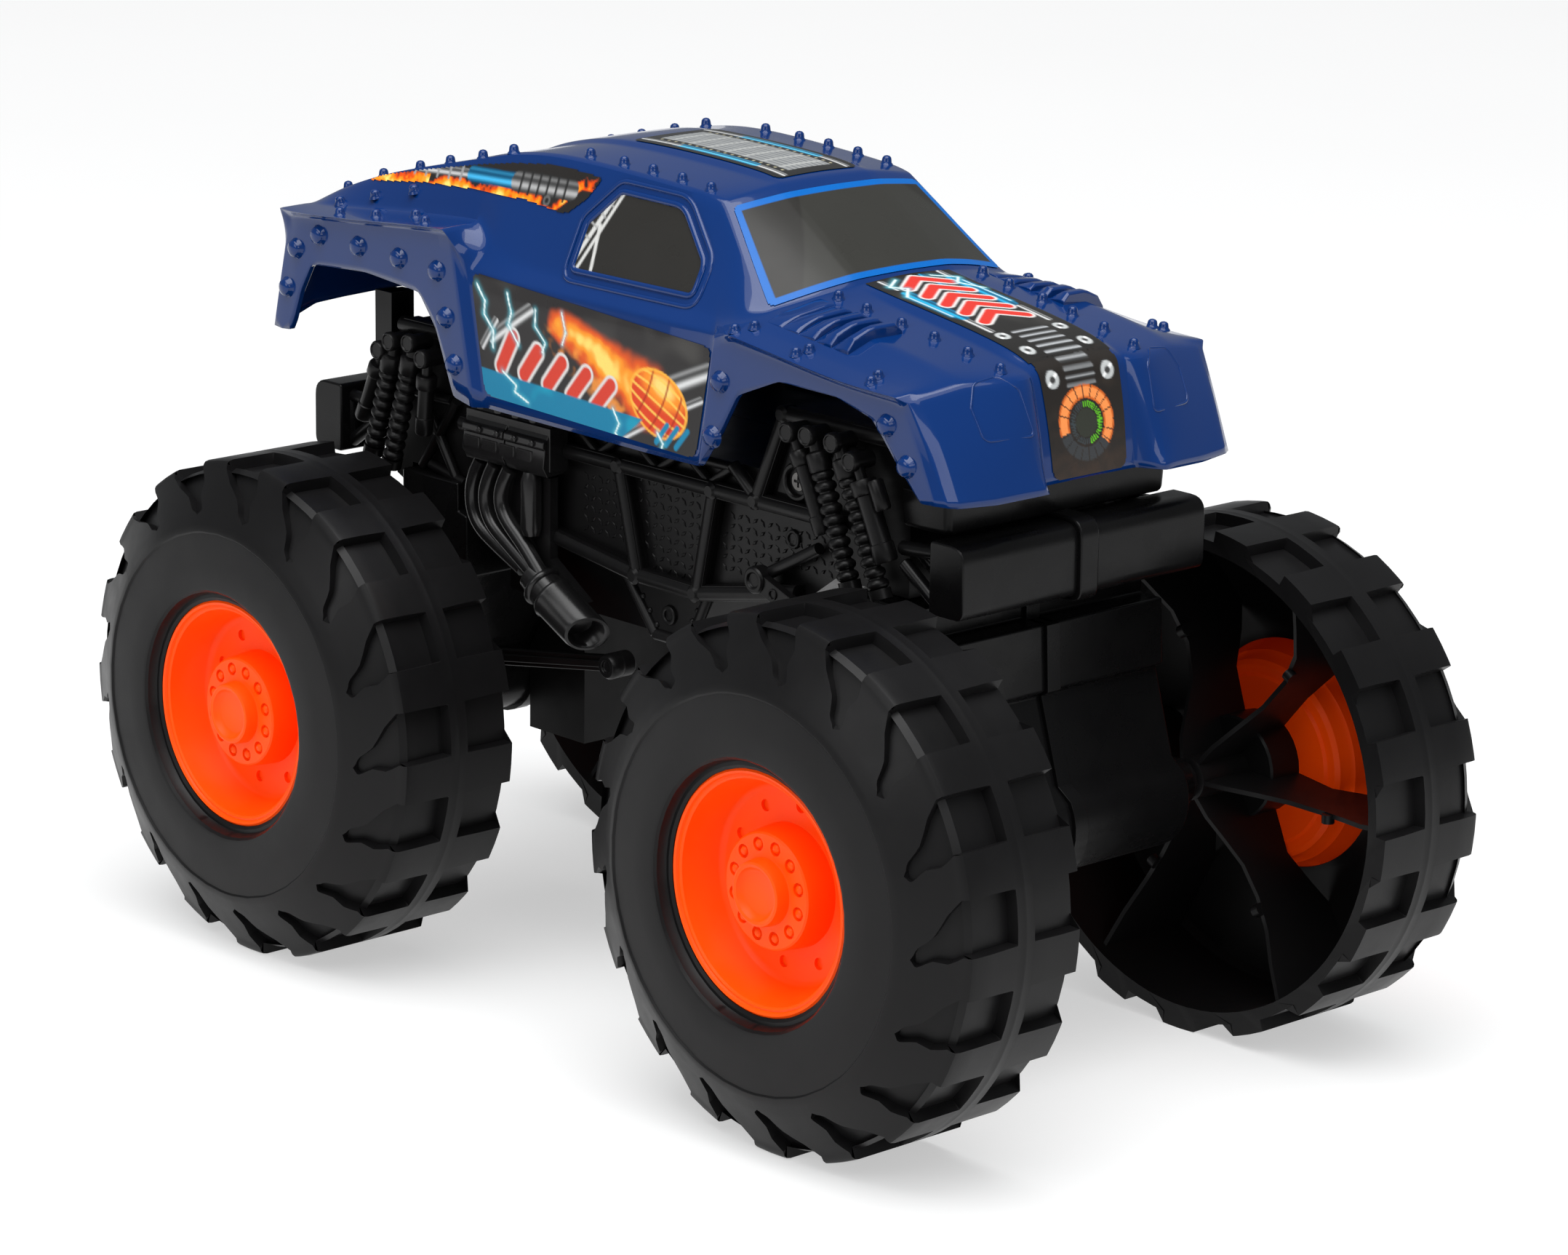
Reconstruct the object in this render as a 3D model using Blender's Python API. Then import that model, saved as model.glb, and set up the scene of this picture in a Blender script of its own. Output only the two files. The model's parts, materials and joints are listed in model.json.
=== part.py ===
"""Toy remote-controlled monster truck, 1:12 class, as an assembly of separate pieces.

Frame: metres, +Z up, front towards -Y, the truck's left side towards +X.
Origin on the floor, midway between the axles. Sizes below are in millimetres.
"""
import math

import bmesh
import bpy
from mathutils import Matrix, Vector

MM = 0.001
GAP = 0.3                 # clearance kept between pieces that touch

# Running gear
TYRE_R = 75.0             # to the flat tops of the lugs
TYRE_IN, TYRE_OUT = 60.5, 110.1
LUGS = 17
LUG_DEPTH = 3.4
TYRE_RIBS, RIB_HALF = 6, 0.8
AXLE_Y, AXLE_Z = 115.25, 75.0
ROD_R = 2.0
ROD_X = 96.0
HUB_BORE = ROD_R + GAP
RIM_LIP_X = 106.0
RIM_R = 33.3

# Axle housings, as offsets from the axle (forward is negative)
HOUSING_X = 45.0
BULGE_R = 16.0
BOSS_R, BOSS_X = 7.5, 56.5
BOSS_BORE = 4.5
BUSH_OUTLINE = ((50, HUB_BORE), (50, 4.2), (BOSS_X + GAP, 4.2), (BOSS_X + GAP, 6.4), (58.4, 6.4),
                (58.4, HUB_BORE))
WALL = 2.0

# Gears: module and teeth
AXLE_TEETH, SMALL_TEETH, BIG_TEETH, PINION_TEETH = 24, 10, 30, 10
COARSE, FINE = 1.0, 0.8
GEAR_RISE = math.radians(145.6)      # from the axle to the compound gear
PINION_RISE = math.radians(198.2)    # from the compound gear to the pinion

# Chassis
SIDES = (("left", 1), ("right", -1))
ENDS = ("front", "rear")
SIDE_X = 40.0
RAIL_X = 45.0
SIDE_WALL = 3.0
BATTERY_X, BATTERY_Y, BATTERY_Z = 34.0, (9.0, 72.5), (110.0, 139.0)
CELL_R, CELL_L, CELL_PITCH = 7.1, 50.0, 14.8
SCREW_SEATS = ((-59.5, 167.5), (60.0, 150.0))     # (y, z) of the side screws, front and rear
BODY_POSTS = ((-80.0, 212.6), (98.0, 229.0))      # (y, top z) of the posts under the shell
BODY_POST_X, BODY_POST_R = 20.0, 4.5
TAIL_POST_X, TAIL_POST_Y, TAIL_POST_Z = (36.0, 44.0), (115.2, 120.8), (160.0, 194.0)

BODY_WALL = 1.6


# ---------------------------------------------------------------- helpers

def material(name, color, roughness, metallic=0.0):
    made = bpy.data.materials.new(name)
    made.use_nodes = True
    shader = made.node_tree.nodes["Principled BSDF"]
    shader.inputs["Base Color"].default_value = (*color, 1.0)
    shader.inputs["Roughness"].default_value = roughness
    shader.inputs["Metallic"].default_value = metallic
    return made


def make_object(name, form, look=None):
    """Turn a bmesh drawn in millimetres into an object with outward faces."""
    bmesh.ops.recalc_face_normals(form, faces=form.faces)
    bmesh.ops.scale(form, vec=Vector((MM, MM, MM)), verts=form.verts)
    mesh = bpy.data.meshes.new(name)
    form.to_mesh(mesh)
    form.free()
    made = bpy.data.objects.new(name, mesh)
    bpy.context.collection.objects.link(made)
    if look:
        mesh.materials.append(look)
    return made


def place(axis, along, u, v):
    """A point with the given coordinate along an axis and (u, v) across it, in X, Y, Z order."""
    return {"X": (along, u, v), "Y": (u, along, v), "Z": (u, v, along)}[axis]


def prism(name, outline, axis, low, high, look=None):
    form = bmesh.new()
    face = form.faces.new([form.verts.new(place(axis, low, u, v)) for u, v in outline])
    moved = bmesh.ops.extrude_face_region(form, geom=[face])
    step = Vector(place(axis, high - low, 0, 0))
    raised = [v for v in moved["geom"] if isinstance(v, bmesh.types.BMVert)]
    bmesh.ops.translate(form, vec=step, verts=raised)
    return make_object(name, form, look)


def box(name, x, y, z, look=None):
    outline = [(y[0], z[0]), (y[1], z[0]), (y[1], z[1]), (y[0], z[1])]
    return prism(name, outline, "X", x[0], x[1], look)


def rod(name, start, end, radius, sides=16, look=None, end_radius=None):
    """A round bar between two points."""
    start, end = Vector(start), Vector(end)
    form = bmesh.new()
    bmesh.ops.create_cone(form, cap_ends=True, segments=sides, radius1=radius,
                          radius2=radius if end_radius is None else end_radius, depth=(end - start).length)
    turn = (end - start).to_track_quat("Z", "Y").to_matrix().to_4x4()
    bmesh.ops.transform(form, matrix=Matrix.Translation((start + end) / 2) @ turn, verts=form.verts)
    return make_object(name, form, look)


def turned(name, profile, sides, look=None):
    """Spin a closed (x, radius) profile about the X axis; radius 0 closes on the axis."""
    form = bmesh.new()
    points = [form.verts.new((x, radius, 0)) for x, radius in profile]
    edges = [form.edges.new((points[i], points[(i + 1) % len(points)])) for i in range(len(points))]
    bmesh.ops.spin(form, geom=points + edges, cent=(0, 0, 0), axis=(1, 0, 0), angle=math.tau,
                   steps=sides, use_merge=True)
    bmesh.ops.remove_doubles(form, verts=form.verts, dist=1e-4)
    bmesh.ops.dissolve_degenerate(form, edges=form.edges, dist=1e-5)
    return make_object(name, form, look)


def boolean(target, tools, operation):
    """Apply exact Booleans one after another and remove the tools."""
    for tool in tools:
        modifier = target.modifiers.new("cut", "BOOLEAN")
        modifier.operation = operation
        modifier.solver = "EXACT"
        modifier.object = tool
        graph = bpy.context.evaluated_depsgraph_get()
        result = bpy.data.meshes.new_from_object(target.evaluated_get(graph))
        target.modifiers.clear()
        target.data = result
        bpy.data.objects.remove(tool)
    return target


def join(target, *tools):
    return boolean(target, tools, "UNION")


def cut(target, *tools):
    return boolean(target, tools, "DIFFERENCE")


def mirrored(name, source):
    """A copy of a piece on the other side of the truck's centre plane."""
    form = bmesh.new()
    form.from_mesh(source.data)
    bmesh.ops.scale(form, vec=Vector((-1 / MM, 1 / MM, 1 / MM)), verts=form.verts)
    bmesh.ops.reverse_faces(form, faces=form.faces)
    return make_object(name, form, source.data.materials[0])


def hang(piece, pivot):
    """Move a piece's origin onto its joint's axis and parent it to the joint's empty."""
    piece.data.transform(Matrix.Translation(-pivot.location))
    piece.parent = pivot
    return piece


def joint_empty(name, x, y, z):
    pivot = bpy.data.objects.new(name, None)
    pivot.location = Vector((x, y, z)) * MM
    bpy.context.collection.objects.link(pivot)
    return pivot


def inset(outline, distance):
    """Shift each side of a counter-clockwise outline inwards and meet again at the corners."""
    moved = []
    for i, corner in enumerate(outline):
        here = Vector(corner)
        before = (here - Vector(outline[i - 1])).normalized()
        after = (Vector(outline[(i + 1) % len(outline)]) - here).normalized()
        normal = (Vector((-before.y, before.x)) + Vector((-after.y, after.x))) / 2
        moved.append(tuple(here + normal * distance / normal.length_squared))
    return moved


def bar_outline(start, end, half_width):
    """The four corners of a straight bar between two points of a side view."""
    start, end = Vector(start), Vector(end)
    across = (end - start).normalized().orthogonal() * half_width
    return [tuple(p) for p in (start + across, start - across, end - across, end + across)]


# ---------------------------------------------------------------- body shell

def body_stations():
    """Half sections of the shell, nose to tail: centre, top corner, then four points down the side.

    The side points are the belt (or fender's inner corner), the fender lip, the top of the
    side face and its lower edge. Doors have no lip, so there the lip lies on the door's top edge.
    """
    return [
        ((0, -131.5, 176), (40, -136, 174.8), (51.6, -134, 175.2),
         (54.6, -132.2, 175.4), (56.4, -129, 175.6), (57, -124, 175.6)),
        ((0, -129.4, 192), (40, -130.6, 191.5), (53, -127.4, 191.0),
         (56, -125.0, 190.6), (57, -122.5, 189.6), (57, -114, 185.4)),
        ((0, -125.8, 205.6), (40, -122.6, 205.2), (53.8, -119.9, 202.6),
         (57.2, -118.9, 201.8), (57.2, -117, 200), (57, -108.5, 191.6)),
        ((0, -119.6, 210.4), (41, -117.8, 207.6), (54.4, -117.2, 204.6),
         (60.2, -116.4, 203.6), (57.4, -115.0, 201.4), (57, -104.6, 195.4)),
        ((0, -96, 214.8), (41, -96, 211.7), (53, -95, 206.4),
         (60.4, -94, 204.2), (57.4, -94, 202.2), (57, -91, 199.0)),
        ((0, -73, 218.2), (42, -72, 214.4), (53, -71, 209.4),
         (60.4, -71, 207.4), (57.4, -71, 205.4), (57, -68, 199.4)),
        ((0, -59.8, 220.4), (45.6, -52.2, 214.6), (53, -51.4, 212.0),
         (59.6, -51, 209.6), (57.4, -51, 207.6), (57, -51.6, 192.8)),
        ((0, -58.4, 221.4), (45.2, -50.4, 215.4), (52.4, -46.2, 212.2),
         (57.8, -46.2, 209.2), (57.4, -44.6, 205.4), (57, -44.6, 181)),
        ((0, -42, 232.6), (41.2, -38, 226.4), (51.2, -41.4, 212.4),
         (57.3, -42.0, 207.8), (57.4, -40.9, 202), (57, -35.6, 170.7)),
        ((0, -31, 239.8), (37.8, -28, 235.6), (50.5, -35, 212.4),
         (54.6, -39.4, 207.8), (54.9, -38.8, 202), (54.6, -33.4, 169.2)),
        ((0, -25, 244.2), (36.4, -22.5, 240.2), (50, -20, 212.6),
         (54.3, -20, 208), (55, -20, 203), (54.6, -20, 169.1)),
        ((0, -16, 246.2), (37.4, -15.5, 241.8), (50, -10, 212.7),
         (54.3, -10, 208.1), (55, -10, 203), (54.6, -10, 169.1)),
        ((0, 12, 247.4), (38.2, 12, 243.4), (50.2, 12, 213.0),
         (54.3, 12, 208.3), (55, 12, 203), (54.6, 12, 169.4)),
        ((0, 36, 247.6), (38.6, 36, 244.4), (50.3, 34, 213.2),
         (54.4, 34, 208.5), (55.1, 34, 203), (54.7, 34, 169.7)),
        ((0, 52, 246.6), (39, 52, 244.2), (50.4, 50, 213.4),
         (54.4, 50, 208.7), (55.1, 50, 203), (54.8, 50, 169.9)),
        ((0, 68, 243.0), (39.6, 67, 242.2), (49.6, 61.2, 217.4),
         (54.4, 66.6, 209.6), (54.9, 65.6, 204), (54.7, 58.9, 170)),
        ((0, 75, 240.4), (40, 74, 240.4), (46.6, 72.0, 222.2),
         (60.6, 71.8, 221.2), (57.6, 72.0, 219.4), (57.2, 62.4, 169.9)),
        ((0, 82, 237.8), (40.3, 80, 238.9), (46.8, 77, 222.2),
         (61, 76.8, 221.3), (57.6, 77, 219.5), (57, 71.2, 171.6)),
        ((0, 93, 234.4), (40.6, 90, 236.7), (47, 84, 221.8),
         (61, 83, 220.9), (57.6, 83, 219.2), (57, 79.2, 190.6)),
        ((0, 107, 230.2), (41, 104, 233.4), (47.2, 96, 221.0),
         (61, 94, 220.1), (57.6, 94, 218.4), (57, 87.0, 200.2)),
        ((0, 124, 225.6), (41.4, 121, 229.2), (47.6, 115, 219.4),
         (61, 113, 218.3), (57.6, 113, 216.6), (57, 112, 202.3)),
        ((0, 141, 220.4), (42, 138, 223.2), (48, 134, 217.8),
         (61, 134, 216.9), (57.6, 134, 215.2), (57, 137.6, 200.8)),
        ((0, 150, 217.2), (42, 147, 219.4), (48.4, 143, 217.2),
         (60.4, 143.4, 216.4), (57.6, 143.4, 214.2), (57, 143.2, 191.4)),
        ((0, 158.2, 213.4), (42.2, 156.2, 214.8), (48.8, 151.6, 216.4),
         (59.4, 150.4, 216.5), (57.2, 147.0, 213.4), (57, 146.6, 182.4)),
        ((0, 159.4, 208), (42, 158.4, 208), (49, 154.4, 207),
         (54.6, 151.6, 206.8), (56.8, 150.6, 206.4), (57, 148.4, 179.2)),
        ((0, 158.6, 185), (41, 158.2, 184), (49, 157.8, 181.4),
         (54, 157.4, 179.6), (56.6, 156.8, 179.2), (57, 152.4, 178.9)),
    ]


STRIP_X = (16.0, 19.0, 30.0)        # strip edge, foot of its step, rivet line
POD_X = (15.0, 18.0, 22.6)          # the same rows where the nose pods stand forward
POD_FORWARD = (7.2, 5.0, 2.8)       # how far the pods' inner edges lead the centre strip


def section(index, station):
    """All points of one half section, from the centre to the lower edge."""
    centre, corner = Vector(station[0]), Vector(station[1])
    rows = [centre]
    widths = POD_X if index < len(POD_FORWARD) else STRIP_X
    for row, width in enumerate(widths):
        part = width / corner.x
        fall = part ** 2.2
        point = centre.lerp(corner, fall)
        point.x = width
        if index < len(POD_FORWARD):
            point.y = centre.y - (POD_FORWARD[index] if row == 2 else 0.0)
        rows.append(point)
    return rows + [Vector(p) for p in station[1:]]


def make_body(look):
    halves = [section(i, s) for i, s in enumerate(body_stations())]
    form = bmesh.new()
    rows = []
    for half in halves:
        left = [form.verts.new(p) for p in half]
        right = [form.verts.new((-p.x, p.y, p.z)) for p in half[1:]]
        rows.append(right[::-1] + left)
    for front, back in zip(rows, rows[1:]):
        for i in range(len(front) - 1):
            form.faces.new((front[i], front[i + 1], back[i + 1], back[i]))
    body = make_object("body_shell", form, look)
    wall = body.modifiers.new("wall", "SOLIDIFY")
    wall.thickness = BODY_WALL * MM
    wall.offset = -1.0
    wall.use_even_offset = True
    return body


# ---------------------------------------------------------------- wheels

def lug_columns():
    """Angles around the tyre and whether each lies on a lug; lug 0 is centred straight down."""
    pitch = math.tau / LUGS
    columns = []
    for lug in range(LUGS):
        middle = -math.pi / 2 + lug * pitch
        for part, on_lug in ((-0.23, True), (0.23, True), (0.27, False), (0.73, False)):
            columns.append((middle + part * pitch, on_lug))
    return columns


def make_tyre_mesh(look):
    """A left tyre on its own axis: lugged tread, hollow inside, six ribs and a hub."""
    flat = TYRE_R / math.cos(0.23 * math.tau / LUGS)
    outer = [(TYRE_IN, flat, LUG_DEPTH), (99, flat, LUG_DEPTH), (108, 59, 1.2), (TYRE_OUT, 54, 0),
             (TYRE_OUT, 36, 0)]
    inner = [(106.6, 35.6), (98, 67.6), (TYRE_IN, 68.4)]
    form = bmesh.new()
    loops = []
    for angle, on_lug in lug_columns():
        ring = [(x, r - (0 if on_lug else depth)) for x, r, depth in outer] + inner
        loops.append([form.verts.new((x, r * math.cos(angle), r * math.sin(angle))) for x, r in ring])
    for here, there in zip(loops, loops[1:] + loops[:1]):
        for i in range(len(here)):
            j = (i + 1) % len(here)
            form.faces.new((here[i], here[j], there[j], there[i]))
    tyre = make_object("tyre", form, look)
    hub = [(TYRE_IN, HUB_BORE), (TYRE_IN, 5.5), (80, 6.2), (80, 15), (90.6, 15), (90.6, HUB_BORE)]
    rib_outline = [(4.6, 61.2), (32, 73), (52, 73), (70, 68), (70, 95), (40, 106), (36.4, 90.2), (4.6, 90.2)]
    join(tyre, turned("hub", hub, 16))
    for number in range(TYRE_RIBS):
        rib = prism("rib", rib_outline, "Y", -RIB_HALF, RIB_HALF)
        turn = Matrix.Rotation(math.tau * number / TYRE_RIBS, 4, "X")
        swap = Matrix(((0, 0, 1, 0), (1, 0, 0, 0), (0, 1, 0, 0), (0, 0, 0, 1)))
        rib.data.transform(turn @ swap)
        join(tyre, rib)
    return tyre


def make_rim(look):
    """A left rim: lip, cone, back flange, bolt boss and centre cap ring, with a blind bore behind."""
    profile = [(RIM_LIP_X, RIM_R), (RIM_LIP_X, 31.6), (94.2, 27.6), (93.2, 16.3), (103, 16.3), (103, 9.2),
               (107.3, 8.8), (107.3, 0), (98, 0), (98, HUB_BORE), (91, HUB_BORE), (91, 29.4), (102.6, RIM_R)]
    return turned("rim", profile, 22, look)


def place_wheel(source, name, pivot, side):
    """Copy a wheel piece onto an axle; the right side is the same piece turned half round."""
    piece = bpy.data.objects.new(name, source.data.copy())
    if side < 0:
        piece.data.transform(Matrix.Rotation(math.pi, 4, "Z"))
    bpy.context.collection.objects.link(piece)
    piece.parent = pivot
    return piece


# ---------------------------------------------------------------- drive

def gear(name, teeth, module, x, centre, phase, bore, look=None):
    """A spur gear with straight flanks and a tooth centred at the phase angle."""
    pitch_r = teeth * module / 2
    pitch = math.tau / teeth
    outline = []
    for tooth in range(teeth):
        middle = phase + tooth * pitch
        for part, radius in ((-0.3, pitch_r - 1.15 * module), (-0.12, pitch_r + 0.8 * module),
                             (0.12, pitch_r + 0.8 * module), (0.3, pitch_r - 1.15 * module)):
            angle = middle + part * pitch
            outline.append((centre[0] + radius * math.cos(angle), centre[1] + radius * math.sin(angle)))
    body = prism(name, outline, "X", x[0], x[1], look)
    if bore:
        cut(body, rod("bore", (x[0] - 1, *centre), (x[1] + 1, *centre), bore, 16))
    return body


def polar(centre, radius, angle):
    return (centre[0] + radius * math.cos(angle), centre[1] + radius * math.sin(angle))


AXLE = (AXLE_Y, AXLE_Z)
COMPOUND = polar(AXLE, (AXLE_TEETH + SMALL_TEETH) * COARSE / 2, GEAR_RISE)
PINION = polar(COMPOUND, (BIG_TEETH + PINION_TEETH) * FINE / 2, PINION_RISE)


def housing_outline():
    """Front housing in (y, z): narrow neck, wide band, leaning box and the round axle bulge."""
    arc = [polar((-AXLE_Y, AXLE_Z), BULGE_R, math.radians(a)) for a in range(150, 391, 24)]
    return [(-110, 141.6), (-110, 132), (-118, 132), (-119, 113), (-116.5, 111.5), (-124, 87), *arc,
            (-83, 111.5), (-80, 113), (-80, 132), (-84, 133), (-84, 141.6)]


def make_housing_half(name, front, side, look):
    """One half of an axle housing: a cup open at the centre plane, with an axle boss."""
    outline = housing_outline()
    if not front:
        outline = [(-y, z) for y, z in outline][::-1]
    sign = -1 if front else 1
    axle = (sign * AXLE_Y, AXLE_Z)
    half = prism(name, outline, "X", GAP / 2, HOUSING_X, look)
    half = join(half, rod("boss", (HOUSING_X - 1, *axle), (BOSS_X, *axle), BOSS_R, 16))
    cut(half, prism("hollow", inset(outline, WALL), "X", -1, HOUSING_X - WALL))
    cut(half, rod("bore", (30, *axle), (BOSS_X + 1, *axle), BOSS_BORE, 16))
    if not front and side > 0:
        cut(half, box("window", (-1, 33.2), (76, 106), (58, 98.2)))
    if side < 0:
        half.name = "source"
        mirrored(name, half)
        bpy.data.objects.remove(half)


def make_drive(black, steel, nylon):
    front = joint_empty("front_axle_pivot", 0, -AXLE_Y, AXLE_Z)
    rear = joint_empty("rear_axle_pivot", 0, AXLE_Y, AXLE_Z)
    for name, pivot, sign in (("front", front, -1), ("rear", rear, 1)):
        y = sign * AXLE_Y
        hang(rod(name + "_axle_rod", (-ROD_X, y, AXLE_Z), (ROD_X, y, AXLE_Z), ROD_R, 12, steel), pivot)
        for side, end in SIDES:
            outline = [(end * x, r) for x, r in BUSH_OUTLINE]
            bush = turned("axle_bush_%s_%s" % (name, side), outline, 12, black)
            bush.data.transform(Matrix.Translation(Vector((0, y, AXLE_Z)) * MM))

    hang(gear("rear_axle_gear", AXLE_TEETH, COARSE, (6, 11), AXLE, GEAR_RISE, HUB_BORE, nylon), rear)

    idler = joint_empty("compound_gear_pivot", 0, *COMPOUND)
    phase = GEAR_RISE + math.pi + math.pi / SMALL_TEETH
    small = gear("compound_gear", SMALL_TEETH, COARSE, (5, 11.2), COMPOUND, phase, None, nylon)
    big = gear("big", BIG_TEETH, FINE, (1.5, 5.3), COMPOUND, PINION_RISE, None)
    join(small, big)
    cut(small, rod("bore", (0, *COMPOUND), (14, *COMPOUND), 1.7, 16))
    hang(small, idler)
    rod("compound_gear_pin", (0.8, *COMPOUND), (31.0, *COMPOUND), 1.4, 12, steel)

    motor = joint_empty("motor_pivot", 0, *PINION)
    pinion = gear("motor_pinion", PINION_TEETH, FINE, (1.2, 5.2), PINION,
                  PINION_RISE + math.pi + math.pi / PINION_TEETH, None, nylon)
    join(pinion, rod("shaft", (5, *PINION), (12, *PINION), 1.0, 12))
    hang(pinion, motor)

    can = rod("motor", (7.2, *PINION), (30, *PINION), 9.6, 24, steel)
    join(can, rod("end_cap", (29, *PINION), (30.8, *PINION), 5.0, 16))
    cut(can, rod("shaft_hole", (6, *PINION), (13, *PINION), 1.5, 12))

    outline = [(73.5, 56), (99, 56), (99, 81.6), (88.6, 99.6), (73.5, 99.6)]
    cover = prism("motor_cover", outline, "X", -4, 33, black)
    hollow = [(75.3, 57.8), (104, 57.8), (104, 81), (90, 97.8), (75.3, 97.8)]
    cut(cover, prism("hollow", hollow, "X", -2.2, 31.2))
    return front, rear


def make_wheels(front, rear, black, orange):
    tyre, rim = make_tyre_mesh(black), make_rim(orange)
    for name, pivot in (("front", front), ("rear", rear)):
        for side, end in SIDES:
            place_wheel(tyre, "tyre_%s_%s" % (name, side), pivot, end)
            place_wheel(rim, "rim_%s_%s" % (name, side), pivot, end)
    bpy.data.objects.remove(tyre)
    bpy.data.objects.remove(rim)


# ---------------------------------------------------------------- chassis

def chassis_outline():
    """Side view (y, z) of the chassis, counter-clockwise."""
    return [(-103, 142.5), (-74, 142.5), (-62, 134), (-24, 126), (-15, 110), (0, 110), (9, 122), (13.5, 126),
            (36, 131), (80.5, 137), (84, 142.5), (111, 142.5), (111.6, 135), (118.4, 138), (121, 164),
            (118, 176), (108, 187), (88, 187), (84, 168), (-46, 168), (-55, 188), (-100, 188), (-103, 184)]


# Raised rails on the chassis side, as (y, z) pairs
CHASSIS_RAILS = (
    ((-88, 159.6), (84, 159.6)), ((-62, 136.4), (-20, 128.2)), ((-20, 128.2), (6, 128.6)),
    ((6, 128.6), (80, 138.4)), ((13, 159), (5, 128)), ((-27, 159), (-20.5, 128)),
    ((-45, 160), (-56, 186)), ((-56, 186), (-100, 186.5)), ((88, 185), (110, 185)))
RAIL_HALF = 2.1


def make_chassis_half(side, black):
    outline = chassis_outline()
    half = prism("chassis_left", outline, "X", GAP / 2, SIDE_X, black)
    cut(half, prism("hollow", inset(outline, SIDE_WALL), "X", -1, SIDE_X - SIDE_WALL))
    bay_y = (BATTERY_Y[0] - 2 * GAP, BATTERY_Y[1] + 2 * GAP)
    cut(half, box("battery_space", (-1, BATTERY_X + 2 * GAP), bay_y, (100, 160)))
    for start, end in CHASSIS_RAILS:
        join(half, prism("rail", bar_outline(start, end, RAIL_HALF), "X", SIDE_X - 1.5, RAIL_X - 1))
    for y, z in SCREW_SEATS:
        cut(half, rod("screw_hole", (SIDE_X - 6, y, z), (RAIL_X + 2, y, z), 3.4, 12))
    join(half, box("tail_post", TAIL_POST_X, TAIL_POST_Y, TAIL_POST_Z))
    for y, top in BODY_POSTS:
        join(half, rod("post", (BODY_POST_X, y, 186), (BODY_POST_X, y, top), BODY_POST_R, 10))
    if side < 0:
        right = mirrored("chassis_right", half)
        bpy.data.objects.remove(half)
        cut(right, box("switch_slot", (-20.5, -9.5), (-10.5, -5.5), (105, 116)))


def make_side_screws(steel):
    """Countersunk screws through the chassis sides."""
    for side, sign in SIDES:
        for where, (y, z) in zip(ENDS, SCREW_SEATS):
            screw = rod("chassis_screw_%s_%s" % (where, side), (sign * 38.6, y, z), (sign * 41.2, y, z), 2.75,
                        12, steel, end_radius=2.5)
            join(screw, rod("shank", (sign * 26, y, z), (sign * 39, y, z), 1.4, 8))


def make_bumper(name, sign, face, root, arm_x, black):
    """A box beam with a collar and two triangular end frames that reach back to the chassis."""
    beam = box(name, (-47.5, 47.5), sorted((sign * face, sign * (face - 13))), (142.8, 161), black)
    join(beam, box("collar", (-3.6, 3.6), sorted((sign * (face + 1.2), sign * (face - 12))), (141.6, 162.2)))
    arm = [(face - 11, 143.4), (root, 150), (root, 160), (face - 11, 160.6)]
    hole = [(face - 13.6, 147.6), (root + 3, 153), (root + 3, 156.4), (face - 13.6, 157)]
    for end in (-1, 1):
        low, high = sorted((end * (arm_x - 5.9), end * arm_x))
        frame = prism("arm", [(sign * y, z) for y, z in arm], "X", low, high)
        cut(frame, prism("hole", [(sign * y, z) for y, z in hole], "X", low - 1, high + 1))
        join(beam, frame)


# Dummy struts as (pin y, z), (foot y, z), radius
STRUTS = {
    "front": (((-62.8, 183.6), (-75, 157.6), 2.5), ((-70.5, 183.6), (-85, 145), 3.4),
              ((-80, 183.6), (-95.5, 145), 3.4), ((-88.5, 180), (-100.5, 154), 3.1)),
    "rear": (((112.5, 178), (124.5, 155), 2.5), ((107, 181.5), (119.5, 146), 3.4),
             ((98, 182.4), (111, 143.5), 3.4), ((92, 178.6), (95.8, 155), 2.9))}


def make_shocks(name, sign, struts, black):
    """A fixed pack of dummy springs and dampers on a short top rail."""
    (first_y, first_z), (last_y, last_z) = struts[0][0], struts[-1][0]
    rail_x = sign * 48.4
    pack = rod(name, (rail_x, first_y, first_z), (rail_x, last_y, last_z + 1), 1.8, 8, black)
    for (pin_y, pin_z), (foot_y, foot_z), radius in struts:
        join(pack, rod("strut", (sign * 49.6, pin_y, pin_z - 3), (sign * 48.2, foot_y, foot_z), radius, 8))
        join(pack, rod("pin", (sign * 44.4, pin_y, pin_z), (sign * 53, pin_y, pin_z), 2.9, 8))


def make_engine(name, sign, black):
    """Dummy engine: cylinder block, bundle of headers and the collector."""
    block = [(37, 153), (73, 153), (75, 158), (72, 167.6), (38, 167.6), (35, 158)]
    headers = [(42, 151), (38, 128), (24, 118), (32, 112), (52, 120), (66, 128), (71, 136), (71, 154),
               (42, 154)]
    engine = prism(name, block, "X", *sorted((sign * (RAIL_X - 0.7), sign * 51.5)), black)
    join(engine, prism("headers", headers, "X", *sorted((sign * (RAIL_X - 0.4), sign * 50.5))))
    join(engine, rod("collector", (sign * 48.4, 37, 119.5), (sign * 50.4, 15, 105.5), 6.2, 14))


def make_link(name, base_x, start, end, black):
    """A flat link arm with a thick eye at its chassis end."""
    low, high = sorted((base_x, base_x + math.copysign(3, base_x)))
    arm = prism(name, bar_outline(start, end, 2.4), "X", low, high, black)
    join(arm, rod("eye", (low - 0.6, *start), (high + 0.6, *start), 3.6, 12))


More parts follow.
